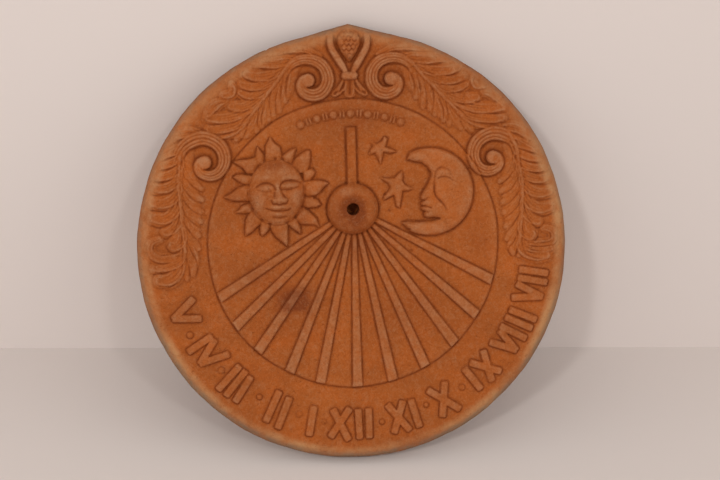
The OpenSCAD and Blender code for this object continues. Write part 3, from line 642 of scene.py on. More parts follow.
def lay_lines(clay):
    foot = HUB_Z + HUB_R - 6
    window = Window(-10, foot, 10, 118)
    near = boxy((0, foot, 0, BAR_TOP), window.x, window.z)
    clay.lay("upright_bar", window, BAR_H * flat_over(near / BAR_HALF, 7), near < BAR_HALF)
    # Grooves beside the bar, darkened with dirt and painted shade
    clay.groove([(-5.2, 60.5), (-5.2, 112.9), (5.2, 112.9), (5.2, 60.5)], 1.0, 0.75, 0.3)
    for i, end in enumerate(HOUR_ENDS):
        start, end = np.array((1.0, HUB_Z)), np.array(end, float)
        way = (end - start) / np.hypot(*(end - start))
        window = around([start + way * (HUB_R - 1), end + way * 2], 8)
        near, along, _ = follow([start + way * (HUB_R - 3), end + way * 6], window.x, window.z)
        half = 2.2 + 2.7 * along
        reach = FIELD_R - 0.6 - window.reach(0, FIELD_Z)
        inside = (near < half) & (reach > 0)
        clay.lay("hour_line_%d" % (i + 1), window, LINE_H * flat_over(near / half, 8), inside)
        off_hub = smooth(window.reach(0, HUB_Z), HUB_R - 0.5, HUB_R + 1.5)
        clay.crease(window, near - half - 0.45, 1.1 * (reach > -0.4) * off_hub, 0.55)


def lay_numerals(clay):
    for hour, strokes in NUMERALS.items():
        for stroke in strokes:
            window = around(pairs(stroke), 7)
            near = boxy(stroke, window.x, window.z)
            relief = NUMERAL_H * flat_over(near / NUMERAL_HALF, 8)
            clay.lay("numeral_%d" % hour, window, relief, near < NUMERAL_HALF)
        window = around([p for stroke in strokes for p in pairs(stroke)], 8)
        near = np.min([boxy(stroke, window.x, window.z) for stroke in strokes], axis=0)
        clay.crease(window, near - NUMERAL_HALF - 0.4, 0.62, 0.5)
    for x, z, r in DOTS:
        window = around([(x, z)], 6)
        near = window.reach(x, z)
        clay.lay("numeral_dots", window, 1.2 * round_over(near / (0.88 * r)), near < 0.88 * r)
        clay.crease(window, near - r - 0.1, 0.6, 0.6)


def lay_outlined(clay, name, rows, tall, dome, crease):
    """Low pillows with crisp edges and a crease round them, dark with dirt and painted shade."""
    outlines = [pairs(row) for row in rows]
    window = around([p for outline in outlines for p in outline], 4)
    depth = np.max([within(outline, window.x, window.z) for outline in outlines], axis=0)
    body = tall * (1 - np.exp(-depth / 0.8)) + dome * (1 - np.exp(-depth / 6.0)) + 0.1
    clay.lay(name, window, body, depth > 0)
    clay.crease(window, depth + 0.6, np.where(depth > 0, 0.0, crease), 0.75)


def lay_sun(clay):
    lay_outlined(clay, "sun_rays", RAYS, 2.3, 2.2, 1.2)
    window = around([SUN_C], 54)
    dx, dz = window.x - SUN_C[0], window.z - SUN_C[1]
    face = np.hypot(dx / SUN_RX, dz / SUN_RZ) * (1 - 0.04 * dz / SUN_RZ)
    clay.carved[window.at] *= smooth(face, 0.9, 1.0)
    clay.lay("sun_face", window, 9.0 * np.clip(1 - face ** 2.5, 0, 1) ** 0.6 + 0.6, face < 1)
    clay.work(window, -(0.45 + 0.5 * smooth(-dz, -12, 12)) * bell(face - 1.01, 0.035))
    clay.model(SUN_SWELLS, SUN_LINES)


def lay_moon(clay):
    turns = np.radians(np.arange(-118, 121, 6.0))
    outline = [(MOON_C[0] + MOON_R * math.cos(a), MOON_C[1] + MOON_R * math.sin(a)) for a in turns]
    outline += pairs(MOON_PROFILE)
    window = around(outline, 5)
    depth = within(outline, window.x, window.z)
    body = 3.4 * (1 - np.exp(-depth / 1.2)) + 2.6 * (1 - np.exp(-depth / 9.0)) + 0.1
    clay.lay("moon", window, body, depth > 0)
    clay.work(window, np.where(depth > 0, 0.0, -0.8 * bell(depth + 0.7, 0.9)))
    clay.model(MOON_SWELLS, MOON_LINES)


def lay_stars(clay):
    for name, outline in STARS.items():
        lay_outlined(clay, name, [outline], 2.0, 0.8, 0.8)


def lay_beads(clay):
    """Round beads and pairs of thin reels in turn, along the field's upper edge."""
    for i in range(BEAD_COUNT):
        a = math.radians(90 - (i - BEAD_COUNT // 2) * BEAD_TURN)
        c, s = math.cos(a), math.sin(a)
        x, z = BEAD_RING * c, FIELD_Z + BEAD_RING * s
        window = around([(x, z)], 7)
        t = (window.x - x) * s - (window.z - z) * c
        n = (window.x - x) * c + (window.z - z) * s
        bead = 1.9 * round_over(np.hypot(t, n) / 3.5)
        reels = 1.6 * round_over((np.abs(t) - 1.5) / 1.05) * flat_over(n / 3.4, 6)
        clay.lay("bead_band", window, reels if i % 2 else bead)


def lay_finial(clay):
    for side in (-1, 1):
        stem = curve([(side * x, z) for x, z in pairs(STEM)])
        window = around(stem, 6)
        near, along, _ = follow(stem, window.x, window.z)
        half = np.interp(along, [0, 0.2, 0.7, 1], [2.6, 3.6, 3.4, 2.8])
        relief = 4.0 * flat_over(near / half, 3) - 0.4 * bell(near - 0.1, 0.45 * half)
        clay.lay("finial_stems", window, relief, near < half)
        for start, gap, drop in ((4, half.max() + 1.1, -0.8), (6, -half.max() - 0.9, 0.8)):
            # Grooves along the stems, darkened with dirt and painted shade
            clay.groove([(p[0] + side * gap, p[1] + drop) for p in stem[start:-3]], 0.6, 0.9, 0.25)
    for width, *row in PETALS:
        lay_lobe(clay, "finial_tassel", pairs(row), width, 2.2, 0, 0.0)
    clay.model((), TASSEL_LINES)
    window = Window(-14, 150, 14, 208)
    near, _, _ = follow([(-3.9, 159.5), (3.9, 159.5)], window.x, window.z)
    clay.lay("finial_collar", window, 5.2 * flat_over(near / 4.0), near < 4.0)
    t = np.clip((window.z - 172) / 31.5, 0, 1)
    half = np.interp(t, [0, 0.12, 0.3, 0.52, 0.7, 0.87, 1], [0.4, 3.6, 7.4, 10.4, 10.2, 7.6, 1.0])
    u = np.abs(window.x) / half
    ends = np.clip(t * 5, 0, 1) ** 0.5 * np.clip((1 - t) * 5, 0, 1) ** 0.5
    body = 5.2 * round_over(np.clip(u, 0, 1)) ** 0.8 * ends + 0.2
    clay.lay("finial_bud", window, body, (u < 1) & (window.z > 172) & (window.z < 203.5))
    lay_scales(clay)


def lay_scales(clay):
    """Small scales over the bud, each with a groove under it darkened with dirt and painted shade."""
    shifts = np.random.RandomState(5).uniform(-0.7, 0.7, (7, 5, 2))
    for row in range(7):
        for col in range(-2, 3):
            px = (col + 0.5 * (row % 2)) * 4.6 + shifts[row, col + 2, 0]
            pz = 176.5 + row * 4.1 + shifts[row, col + 2, 1]
            if abs(px) < np.interp((pz - 172) / 31.5, [0, 0.3, 0.6, 1], [0.6, 6, 9.4, 6]):
                clay.swell(px, pz, 1.7, 1.6, 1.6)
                clay.groove([(px - 2, pz - 0.4), (px, pz - 2.5), (px + 2, pz - 0.4)], 0.7, 0.6, 0.3)


def lay_lobe(clay, name, points, width, tall, lower, vein=0.4, tip=0.9, skirt=0.0):
    """One soft leaf lobe with a hollow face. lower is the side, 1 or -1, of its higher rim, or 0."""
    path = curve(points)
    window = around(path, width / 2 + skirt + 1)
    near, along, side = follow(path, window.x, window.z)
    half = width / 2 * np.interp(along, [0, 0.25, 0.55, 0.85, 1], [0.35, 0.7, 1.0, 0.5 + 0.5 * tip, tip])
    if skirt:
        clay.lay(name, window, 1.25 * flat_over(near / (half + skirt), 3), near < half + skirt)
    u = near / half
    edge = round_over(np.clip((u - 0.7) / 0.3, 0, 1)) ** 0.8
    face = (0.70 + 0.30 * np.clip(u / 0.75, 0, 1) ** 2) * edge * (1 + 0.2 * lower * side * np.clip(u, 0, 1))
    rise = tall * np.interp(along, [0, 0.15, 0.6, 1], [0.7, 1.0, 1.0, 0.5 + 0.4 * tip])
    clay.lay(name, window, rise * face, u < 1)
    if vein:
        # The middle vein ends before the tip
        for gap, end in ((-0.24, None), (0.0, -3), (0.24, None)):
            line = beside(path[1:-1], gap * width)[:end]
            clay.groove(line, [0.1, vein, vein, 0.5 * vein], 0.6, 0.06)


def from_rib(rib, points):
    """Lets a lobe's centre line start further back along the rib, so that it flows out of it."""
    root = np.asarray(points[0], float)
    k = back = int(np.argmin([np.hypot(*(p - root)) for p in rib]))
    if np.hypot(*(rib[k] - root)) > 8.0:
        return points
    gone = 0.0
    while back > 0 and gone < 10.0:
        gone += np.hypot(*(rib[back] - rib[back - 1]))
        back -= 1
    return [rib[back] + 0.5 * (root - rib[k])] + points


def lay_volute(clay, name, centre, table, flip, eye):
    """Fluted band that winds out of a round eye. flip is 1 for a left-hand scroll and -1 for the other."""
    cx, cz = centre
    angles, radii, widths = zip(*table)

    def ring(turns, reaches):
        return [
            (cx + flip * r * math.cos(math.radians(a)), cz + r * math.sin(math.radians(a)))
            for a, r in zip(turns, reaches)
        ]

    turns = np.arange(angles[0], angles[-1], 5.0)
    points = ring(turns, np.interp(turns, angles, radii))
    window = Window(cx - 40, cz - 36, cx + 40, cz + 40)
    near, along, side = follow(points, window.x, window.z)
    gone = np.concatenate([[0.0], np.cumsum(np.hypot(*np.diff(points, axis=0).T))])
    turn = np.interp(along, gone / gone[-1], turns)
    half = np.interp(along, gone / gone[-1], np.interp(turns, angles, widths)) / 2
    u = near * side / half
    flutes = (0.5 + 0.5 * np.cos(u * 4 * math.pi)) * (np.abs(u) < 0.88) * smooth(turn, 190, 290)
    tail = 1.0 - 0.5 * smooth(turn, turns[-1] - 55, turns[-1])
    band = np.where(near < half, tail * (4.3 * flat_over(np.clip(u, -1, 1)) - 0.95 * flutes), 0.0)
    # What the leaves pressed in under the band is filled, except near its outer end
    clean = np.clip(smooth(near - half, -0.6, 0.6) + smooth(turn, 470, 520) * (near < half + 0.6), 0, 1)
    clay.carved[window.at] *= clean
    clay.dirt_and_shade[window.at] *= clean
    r = window.reach(cx, cz + 0.8)
    clay.lay(name, window, np.maximum(band, np.where(r < eye, 3.5 + 1.9 * round_over(r / eye), 0.0)))
    # The crescent between the eye and the band, its deep end under the eye, and the band's inner edge, all
    # darkened with dirt and painted shade
    bends = np.array((-30, 0, 45, 90, 140, 180))
    clay.groove(curve(ring(bends, (7.4, 8.6, 9.0, 9.6, 10.6, 11.4))), 0.35, 2.4, 0.05)
    clay.groove(curve(ring((-95, -60, -30, 0), (5.4, 6.2, 7.0, 7.2))), 1.2, 0.9, 0.35)
    inner = np.interp(bends + 360, angles, [r - w / 2 for _, r, w in table])
    clay.groove(curve(ring(bends, inner - 0.4)), 0.5, 0.9, 0.45)


def lay_scrolls(clay):
    for side, hand in ((1, "right"), (-1, "left")):
        def top(x, z):
            # The left leaf at the top is a little shorter and hangs lower than the right one
            far = max(x - 50, 0) if side < 0 else 0
            return side * (x - 0.12 * far), z - 0.04 * far

        def low(x, z):
            # The right leaf at the side sits a little lower at its volute and ends above the numeral
            up = float(smooth(z, 45, 85)) if side > 0 else 0
            return side * (x - 3.5 * up), z - 2.5 * up if z > 0 or side < 0 else z * 0.5

        # The right volute at the side is smaller and its band ends sooner
        volute, side_table = (136.0, 82.0), SIDE_VOLUTE
        if side > 0:
            volute, side_table = (132.5, 79.5), SIDE_VOLUTE[:-2] + [(512, 25, 8)]
        for name, place, outer, inner, rib, cuts, centre, table, eye, tall, vein in (
            ("scroll_top_" + hand, top, TOP_OUTER, TOP_INNER, TOP_RIB, TOP_CUTS,
             (38.5, 155.0), TOP_VOLUTE, 6.3, 2.2, 0.35),
            ("scroll_side_" + hand, low, SIDE_OUTER, SIDE_INNER, SIDE_RIB, SIDE_CUTS,
             volute, side_table, 6.4, 1.6, 0.3),
        ):
            body, *cuts = [curve([place(x, z) for x, z in pairs(row)]) for row in [rib] + cuts]
            window = around(body, 24)
            near, along, _ = follow(body, window.x, window.z)
            half = np.interp(along, [0, 0.3, 0.7, 1], [8, 18, 19, 11])
            clay.lay(name, window, 1.7 * flat_over(near / half, 2), near < half)
            for lobes, more, *form in (
                (inner, 1, tall, 0, vein, 0.25, 1.5), (outer, 0.8, 2.4, -side, 0.4, 0.7, 2.5),
            ):
                for width, *row in lobes:
                    points = from_rib(body, [place(x, z) for x, z in pairs(row)])
                    lay_lobe(clay, name, points, width + more, *form)
            half = spread(along, (5.0, 4.0, 3.4, 3.0, 2.6)) / 2
            ridge = 3.0 * spread(along, (1, 1, 1, 0.9)) * round_over(near / half) ** 0.7
            clay.lay(name, window, ridge, near < half)
            for cut in cuts:
                clay.groove(cut, [0.3, 0.6, 0.6, 0.2], 0.8, 0.18)
            lay_volute(clay, name, (side * centre[0], centre[1]), table, -side, eye)


def lay_pits(clay):
    for x, z in PITS:
        # Pits pressed in and darkened with dirt and painted shade
        clay.groove([(x, z), (x + 0.7, z + 0.3)], 1.3, 0.9, 1.0)


FORMS = (
    lay_lines, lay_hub, lay_numerals, lay_sun, lay_moon, lay_stars, lay_beads, lay_finial, lay_scrolls,
    lay_pits,
)
CLAY = {}


def clay_map():
    """The finished clay map, worked out once."""
    if not CLAY:
        clay = ClayMap()
        for lay_form in FORMS:
            lay_form(clay)
        clay.close()
        CLAY["map"] = clay
    return CLAY["map"]


def surface_marks(mesh):
    """Stores how hollow (dirt and painted shade), how worn (dust and painted highlight) and how stained and
    shaded the clay is at each point of a mesh.
    """
    clay = clay_map()
    co = np.zeros(len(mesh.vertices) * 3, np.float32)
    mesh.vertices.foreach_get("co", co)
    x, z = co[0::3] * 1000.0, co[2::3] * 1000.0
    facing = co[1::3] < -0.012
    edge = edge_distance(x, z)
    low = smooth(-z, -40, 120)
    # Stains, and painted shade round the sun's eyes and sides and in the hub's dish
    stain_and_shade = sum(k * spot(x, z, *oval) for *oval, k in STAINS_AND_SHADE)
    peak = bell(x, 60) * (z > 0)
    for name, values in (
        ("hollow", sample(clay.hollow, x, z) * facing),
        ("crown", sample(clay.crown, x, z) * facing),
        ("stain_and_shade", stain_and_shade * facing),
        ("rim", smooth(14.5 - edge, 0.0, 6.0) * (0.4 + 0.6 * np.maximum(low, smooth(x, 150, 190)))),
        ("edge", smooth(5.5 + 3.5 * low - edge, 0.0, 4.0 + 2.0 * low) * (0.6 + 0.4 * low + 0.4 * peak)),
    ):
        mesh.attributes.new(name, "FLOAT", "POINT").data.foreach_set("value", values.astype(np.float32))


def show(name, bm, material):
    """Turns a bmesh into an object in the scene."""
    mesh = bpy.data.meshes.new(name)
    bm.to_mesh(mesh)
    bm.free()
    mesh.materials.append(material)
    shown = bpy.data.objects.new(name, mesh)
    bpy.context.scene.collection.objects.link(shown)
    return shown


def finish_piece(key, bm, kind=RELIEF):
    """Shows a closed bmesh as a piece that rides on the plaque and stands for its CAD node."""
    # hour_line_1 is shown as hour_line_clay_1, and moon as moon_clay
    stem, _, number = key.rpartition("_")
    name = "%s_clay_%s" % (stem, number) if number.isdigit() else key + "_clay"
    nodes = [key]
    bmesh.ops.recalc_face_normals(bm, faces=bm.faces)
    if any(len(e.link_faces) != 2 for e in bm.edges):
        raise RuntimeError(name + " isn't closed")
    piece = show(name, bm, clay_material(kind))
    surface_marks(piece.data)
    for polygon in piece.data.polygons:
        polygon.use_smooth = True
    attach(piece, "root")
    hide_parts(*nodes)


def drop_faces(bm):
    """Takes away the faces that have a corner without a tag."""
    bmesh.ops.delete(bm, geom=[f for f in bm.faces if not all(v.tag for v in f.verts)], context="FACES")


def close_below(bm, base):
    """Gives an open sheet walls and a flat underside."""
    foot = bmesh.ops.extrude_face_region(bm, geom=bm.faces[:], use_keep_orig=True)
    for v in foot["geom"]:
        if isinstance(v, bmesh.types.BMVert):
            v.co.y = -base * MM


def build_relief(keys, foot):
    """Lifts pieces of the clay map out as closed solids with their feet sunk in the clay behind them."""
    clay = clay_map()
    for key in keys:
        mask = clay.mask([key])
        rows, columns = np.where(mask.any(axis=1))[0], np.where(mask.any(axis=0))[0]
        r0, r1 = max(rows[0] - 5, 0), min(rows[-1] + 6, ROWS)
        c0, c1 = max(columns[0] - 5, 0), min(columns[-1] + 6, COLUMNS)
        part = (slice(r0, r1), slice(c0, c1))
        share = soften(mask[part].astype(float), 0.7)
        lift = smooth(share, 0.08, 0.42)
        # Neighbours differ a little in height, so that no two tops lie in one place
        raised = 0.015 + 0.012 * (clay.pieces.index(key) % 6)
        front = (clay.height[part] + raised) * lift + (clay.seat[part] - 1.2) * (1 - lift)
        tall, wide = front.shape
        bm = bmesh.new()
        bmesh.ops.create_grid(bm, x_segments=wide - 1, y_segments=tall - 1, size=0.5)
        for v in bm.verts:
            c, r = round((v.co.x + 0.5) * (wide - 1)), round((v.co.y + 0.5) * (tall - 1))
            v.co = ((LEFT + STEP * (c0 + c)) * MM, -front[r, c] * MM, (LOW + STEP * (r0 + r)) * MM)
            v.tag = bool(share[r, c] > 0.02)
        drop_faces(bm)
        pinched = [v for v in bm.verts if len([e for e in v.link_edges if len(e.link_faces) == 1]) > 2]
        bmesh.ops.delete(bm, geom=pinched, context="VERTS")
        close_below(bm, foot)
        finish_piece(key, bm)
    return {"FINISHED"}


def spun(section, steps):
    """Turns a section, given as radius and height over the wall, once round the Y axis."""
    bm = bmesh.new()
    line = [bm.verts.new((r * MM, -h * MM, 0.0)) for r, h in section]
    edges = [bm.edges.new(pair) for pair in zip(line[:-1], line[1:])]
    bmesh.ops.spin(
        bm, geom=line + edges, cent=(0, 0, 0), axis=(0, 1, 0), angle=2 * math.pi, steps=steps, use_merge=True
    )
    bmesh.ops.remove_doubles(bm, verts=bm.verts, dist=1e-6)
    return bm


def cover(mask):
    """Soft share of a mask, for ground that sinks where something covers it."""
    return smooth(soften(mask.astype(float), 0.7), 0.55, 0.9)


def build_field(steps):
    """The raised dial field: a spun sheet that takes the heights of the clay map."""
    clay = clay_map()
    radius, (cx, cz) = FIELD_R * SCALE, on_slab(0, FIELD_Z)
    rings = np.concatenate([np.arange(0, 123.0, 1.7), np.arange(124.0, radius + 1.6, 0.8)])
    bm = spun([(r, 0.0) for r in rings], steps)
    covered = cover(clay.mask(clay.named("hour", "sun", "star", "hub", "upright", "moon", "bead")))
    bed = clay.height * (1 - covered) + (clay.seat - 0.8) * covered
    x, _, z = np.array([v.co for v in bm.verts]).T * 1000.0 + np.array([[cx], [0.0], [cz]])
    lift = smooth(sample(clay.reach, x, z), -1.2, -0.2)
    heights = (sample(bed, x, z) + 0.01) * lift + (sample(clay.border, x, z) - 1.5) * (1 - lift)
    hub = on_slab(0, HUB_Z)
    for v, px, h, pz in zip(bm.verts, x, heights, z):
        v.co = (px * MM, -h * MM, pz * MM)
        v.tag = math.hypot(px - hub[0], pz - hub[1]) > 14.5
    drop_faces(bm)
    close_below(bm, BORDER_FOOT)
    finish_piece("dial_field", bm, GROUND)
    return {"FINISHED"}


def pocket(bm, centre, radius, mouth, floor):
    """Ring of edges for a blind round hole whose wall and floor are made with it."""
    place = Matrix.Translation((centre[0] * MM, -mouth * MM, centre[1] * MM))
    ring = bmesh.ops.create_circle(
        bm, cap_ends=False, segments=48, radius=radius * MM, matrix=place @ Matrix.Rotation(math.pi / 2, 4, "X")
    )
    edges = list({e for v in ring["verts"] for e in v.link_edges})
    wall = bmesh.ops.extrude_edge_only(bm, edges=edges)["geom"]
    for v in wall:
        if isinstance(v, bmesh.types.BMVert):
            v.co.y = -floor * MM
    rim = [g for g in wall if isinstance(g, bmesh.types.BMEdge) and len(g.link_faces) == 1]
    bmesh.ops.contextual_create(bm, geom=rim)
    return edges


def build_plaque(steps):
    """The slab: a spun section with a rounded rim, drawn up to the pointed top."""
    clay = clay_map()
    section = [(118.0, 19.0), (124.0, 19.2)]
    section += [(r, PLAQUE_T) for r in (*np.arange(128.6, 140.6, 0.6), *np.arange(141.8, 187.6, 1.25))]
    section += [
        (PLAQUE_R - RIM_R + RIM_R * math.sin(a), PLAQUE_T - RIM_R + RIM_R * math.cos(a))
        for a in np.radians(np.arange(0, 91, 6.0))
    ]
    section += [(PLAQUE_R, 8.0), (PLAQUE_R, 5.2)]
    section += [
        (PLAQUE_R - BACK_R + BACK_R * math.cos(a), BACK_R - BACK_R * math.sin(a))
        for a in np.radians(np.arange(0, 91, 22.5))
    ]
    section.append((185.0, 0.0))
    bm = spun(section, steps)
    sunk = cover(clay.mask(clay.pieces[1:]) | (clay.reach > 0))
    bed = clay.height * (1 - sunk) + (np.minimum(clay.seat, clay.border) - 0.8) * sunk
    x, y, z = np.array([v.co for v in bm.verts]).T * 1000.0
    h, r, lean = -y, np.hypot(x, z), np.arctan2(x, z)
    reach = np.where(np.abs(lean) < PEAK_A, PLAQUE_R / np.cos(PEAK_A - np.abs(lean)), PLAQUE_R)
    # One chip at the upper left, and low waves all round
    chips = -0.9 * bell(lean + 0.385, 0.006) + sum(k * np.sin(lean * n + start) for k, n, start in RIM_WAVES)
    grow = 1 + (reach / PLAQUE_R - 1) * smooth(r, 140, 186) + chips / PLAQUE_R * smooth(r, 186, 199)
    x, z = x * grow, z * grow
    mapped = smooth(198.6 - r, 0.0, 1.2) * (r > 128) * (h > 10.9)
    side_wave = sample(clay.waves, x * 0.985, z * 0.985) * 0.5 * (h > 2.6) * (r > 190)
    h = np.where(mapped > 0, sample(bed, x, z) * mapped + (h + side_wave) * (1 - mapped), h + side_wave)
    for v, px, ph, pz in zip(bm.verts, x, h, z):
        v.co = (px * MM, -ph * MM, pz * MM)
    open_edges = [e for e in bm.edges if len(e.link_faces) == 1]
    back = [e for e in open_edges if e.verts[0].co.y > -MM]
    front = [e for e in open_edges if e.verts[0].co.y <= -MM]
    back += pocket(bm, (0, HANG_Z), HANG_R, 0.0, HANG_DEPTH)
    front += pocket(bm, on_slab(0, HUB_Z), SOCKET_R + 1.8, section[0][1], 4.5)
    for edges in (back, front):
        bmesh.ops.triangle_fill(bm, use_beauty=True, use_dissolve=False, edges=edges)
    finish_piece("plaque", bm, GROUND)
    return {"FINISHED"}


def build_hub(steps):
    """The boss with its dish and the blind socket, spun round the hub's own axis."""
    clay = clay_map()
    top, floor, middle = 23.6, SOCKET_FLOOR, on_slab(0, HUB_Z)[1]
    section = [(0.0, floor), (SOCKET_R * 0.6, floor), (SOCKET_R - 0.3, floor), (SOCKET_R, floor + 0.3)]
    section += [(SOCKET_R, h) for h in np.arange(floor + 3, top + 5.0, 2.0)]
    section += [(SOCKET_R, top + 5.5), (SOCKET_R + 0.2, top + 6.1), (SOCKET_R + 0.6, top + 6.4)]
    section += [(r, top + 7.0) for r in np.arange(SOCKET_R + 1.3, HUB_R + 1.0, 0.7)]
    section += [(HUB_R + 1.0, top - 1.6), (HUB_R - 2, top - 2.5)]
    section += [(SOCKET_R + 1.5, top - 3.0), (SOCKET_R + 1.5, floor - 1.2), (0.0, floor - 1.2)]
    bm = spun(section, steps)
    bmesh.ops.translate(bm, verts=bm.verts, vec=(0, 0, middle * MM))
    for v in bm.verts:
        x, z = v.co.x * 1000, v.co.z * 1000
        past_mouth = math.hypot(x, z - middle) - SOCKET_R - 0.4
        if past_mouth > 0 and v.co.y < -(top + 1.0) * MM:
            laid = float(sample(clay.height, np.array(x), np.array(z))) + 0.05
            share = min(past_mouth / 1.4, 1.0)
            v.co.y = v.co.y * (1 - share) - laid * share * MM
    finish_piece("hub_boss", bm)


def srgb(r, g, b):
    """Linear colour for a colour given from 0 to 255 as a screen shows it."""
    def linear(v):
        v /= 255.0
        return v / 12.92 if v <= 0.04045 else ((v + 0.055) / 1.055) ** 2.4
    return (linear(r), linear(g), linear(b), 1.0)


class Nodes:
    """Short hand for wiring a material."""

    def __init__(self, material):
        material.use_nodes = True
        self.tree = material.node_tree
        self.tree.nodes.clear()

    def add(self, kind, inputs=None, **settings):
        node = self.tree.nodes.new(kind)
        for key, value in settings.items():
            setattr(node, key, value)
        for key, value in (inputs or {}).items():
            self.feed(node.inputs[key], value)
        return node

    def feed(self, socket, value):
        if isinstance(value, bpy.types.NodeSocket):
            self.tree.links.new(value, socket)
        else:
            socket.default_value = value

    def noise(self, place, scale, detail=3.0, roughness=0.6, distortion=0.0):
        return self.add("ShaderNodeTexNoise", {
            "Vector": place, "Scale": scale, "Detail": detail, "Roughness": roughness,
            "Distortion": distortion,
        }).outputs["Fac"]

    def band(self, value, low, high, top=1.0, bottom=0.0):
        """Runs from bottom to top while the value runs from low to high."""
        return self.add("ShaderNodeMapRange", {
            "Value": value, "From Min": low, "From Max": high, "To Min": bottom, "To Max": top,
        }, clamp=True).outputs["Result"]

    def join(self, operation, first, *others):
        for value in others:
            first = self.add("ShaderNodeMath", {0: first, 1: value}, operation=operation).outputs[0]
        return first

    def mix(self, share, a, b):
        return self.add("ShaderNodeMix", {0: share, 6: a, 7: b}, data_type="RGBA").outputs[2]

    def mark(self, name, *shares):
        """A mark of the surface, times some shares."""
        mark = self.add("ShaderNodeAttribute", attribute_type="GEOMETRY", attribute_name=name).outputs["Fac"]
        return self.join("MULTIPLY", mark, *shares)

    def surface(self, socket):
        self.add("ShaderNodeOutputMaterial", {"Surface": socket})


def clay_material(kind):
    """Weathered terracotta, made once: mottled orange clay with hollows darkened by dirt and painted shade,
    crowns paled by dust and painted highlight, and a grey rim.
    """
    material = bpy.data.materials.get(kind)
    if material:
        return material
    tones = bpy.context.scene.sundial_colours
    material = bpy.data.materials.new(kind)
    n = Nodes(material)
    place = n.add("ShaderNodeTexCoord").outputs["Object"]
    clouds, blotches = n.noise(place, 11.0, distortion=0.4), n.noise(place, 42.0, 4.0, distortion=0.3)
    patches, flecks = n.noise(place, 120.0), n.noise(place, 300.0, distortion=1.2)
    grain = n.noise(place, 900.0, roughness=0.65)
    uneven = n.band(patches, 0.36, 0.6, 1.0, 0.6)
    base = tuple(tones.deep)
    for share, tone in (
        (n.band(clouds, 0.36, 0.64), "warm"),
        (n.band(blotches, 0.42, 0.70, 0.55), "orange"),
        (n.band(patches, 0.52, 0.74, 0.18), "dust"),
        (n.mark("stain_and_shade", n.band(blotches, 0.25, 0.6)), "stain_and_shade"),
        (n.mark("crown", n.band(patches, 0.25, 0.62, 0.55 if kind == GROUND else 0.7)), "dust"),
        (n.band(flecks, 0.50, 0.66, 0.22), "stain_and_shade"),
        (n.band(flecks, 0.50, 0.36, 0.20), "dust"),
        (n.band(grain, 0.42, 0.66, 0.34), "deep"),
        (n.mark("hollow", n.band(patches, 0.3, 0.62, 0.85, 0.5)), "hollow"),
        (n.mark("rim", n.band(clouds, 0.30, 0.62, 0.9), uneven), "bloom"),
        (n.mark("edge", n.band(blotches, 0.2, 0.55, 0.85), uneven), "grime"),
        (n.band(n.noise(place, 520.0, 2.0, 0.5), 0.66, 0.74, 0.35), "hollow"),
    ):
        base = n.mix(share, base, tuple(getattr(tones, tone)))
    pits = n.join("MULTIPLY", n.band(n.noise(place, 330.0, 2.0, 0.5), 0.60, 0.78), -1.2)
    relief = n.join("ADD", grain, n.join("MULTIPLY", patches, 1.5), pits, flecks)
    bump = n.add("ShaderNodeBump", {"Strength": 0.8, "Distance": 0.0007, "Height": relief})
    n.surface(n.add("ShaderNodeBsdfPrincipled", {
        "Base Color": base, "Roughness": n.band(patches, 0.3, 0.7, 0.88, 0.66),
        "Normal": bump.outputs["Normal"], "Specular IOR Level": 0.06,
    }).outputs["BSDF"])
    return material


def studio_paper(name, colour, rough):
    """Plain studio surface that isn't seen from behind."""
    material = bpy.data.materials.new(name)
    n = Nodes(material)
    place = n.add("ShaderNodeTexCoord").outputs["Object"]
    shade = tuple(c * 0.86 for c in colour[:3]) + (1.0,)
    tone = n.mix(n.join("MULTIPLY", n.noise(place, 1.6, 2.0, 0.55), 0.22), colour, shade)
    shader = n.add("ShaderNodeBsdfPrincipled", {
        "Base Color": tone, "Roughness": rough, "Specular IOR Level": 0.2,
    })
    clear = n.add("ShaderNodeBsdfTransparent")
    back = n.add("ShaderNodeNewGeometry").outputs["Backfacing"]
    n.surface(n.add("ShaderNodeMixShader", {0: back, 1: shader.outputs[0], 2: clear.outputs[0]}).outputs[0])
    return material


def studio_card(name, corners, material):
    """A flat four-cornered sheet of the studio."""
    bm = bmesh.new()
    bmesh.ops.create_grid(bm, x_segments=1, y_segments=1, size=0.5)
    for v, corner in zip(sorted(bm.verts, key=lambda v: (round(v.co.y, 3), round(v.co.x, 3))), corners):
        v.co = corner
    bm.normal_update()
    card = show(name, bm, material)


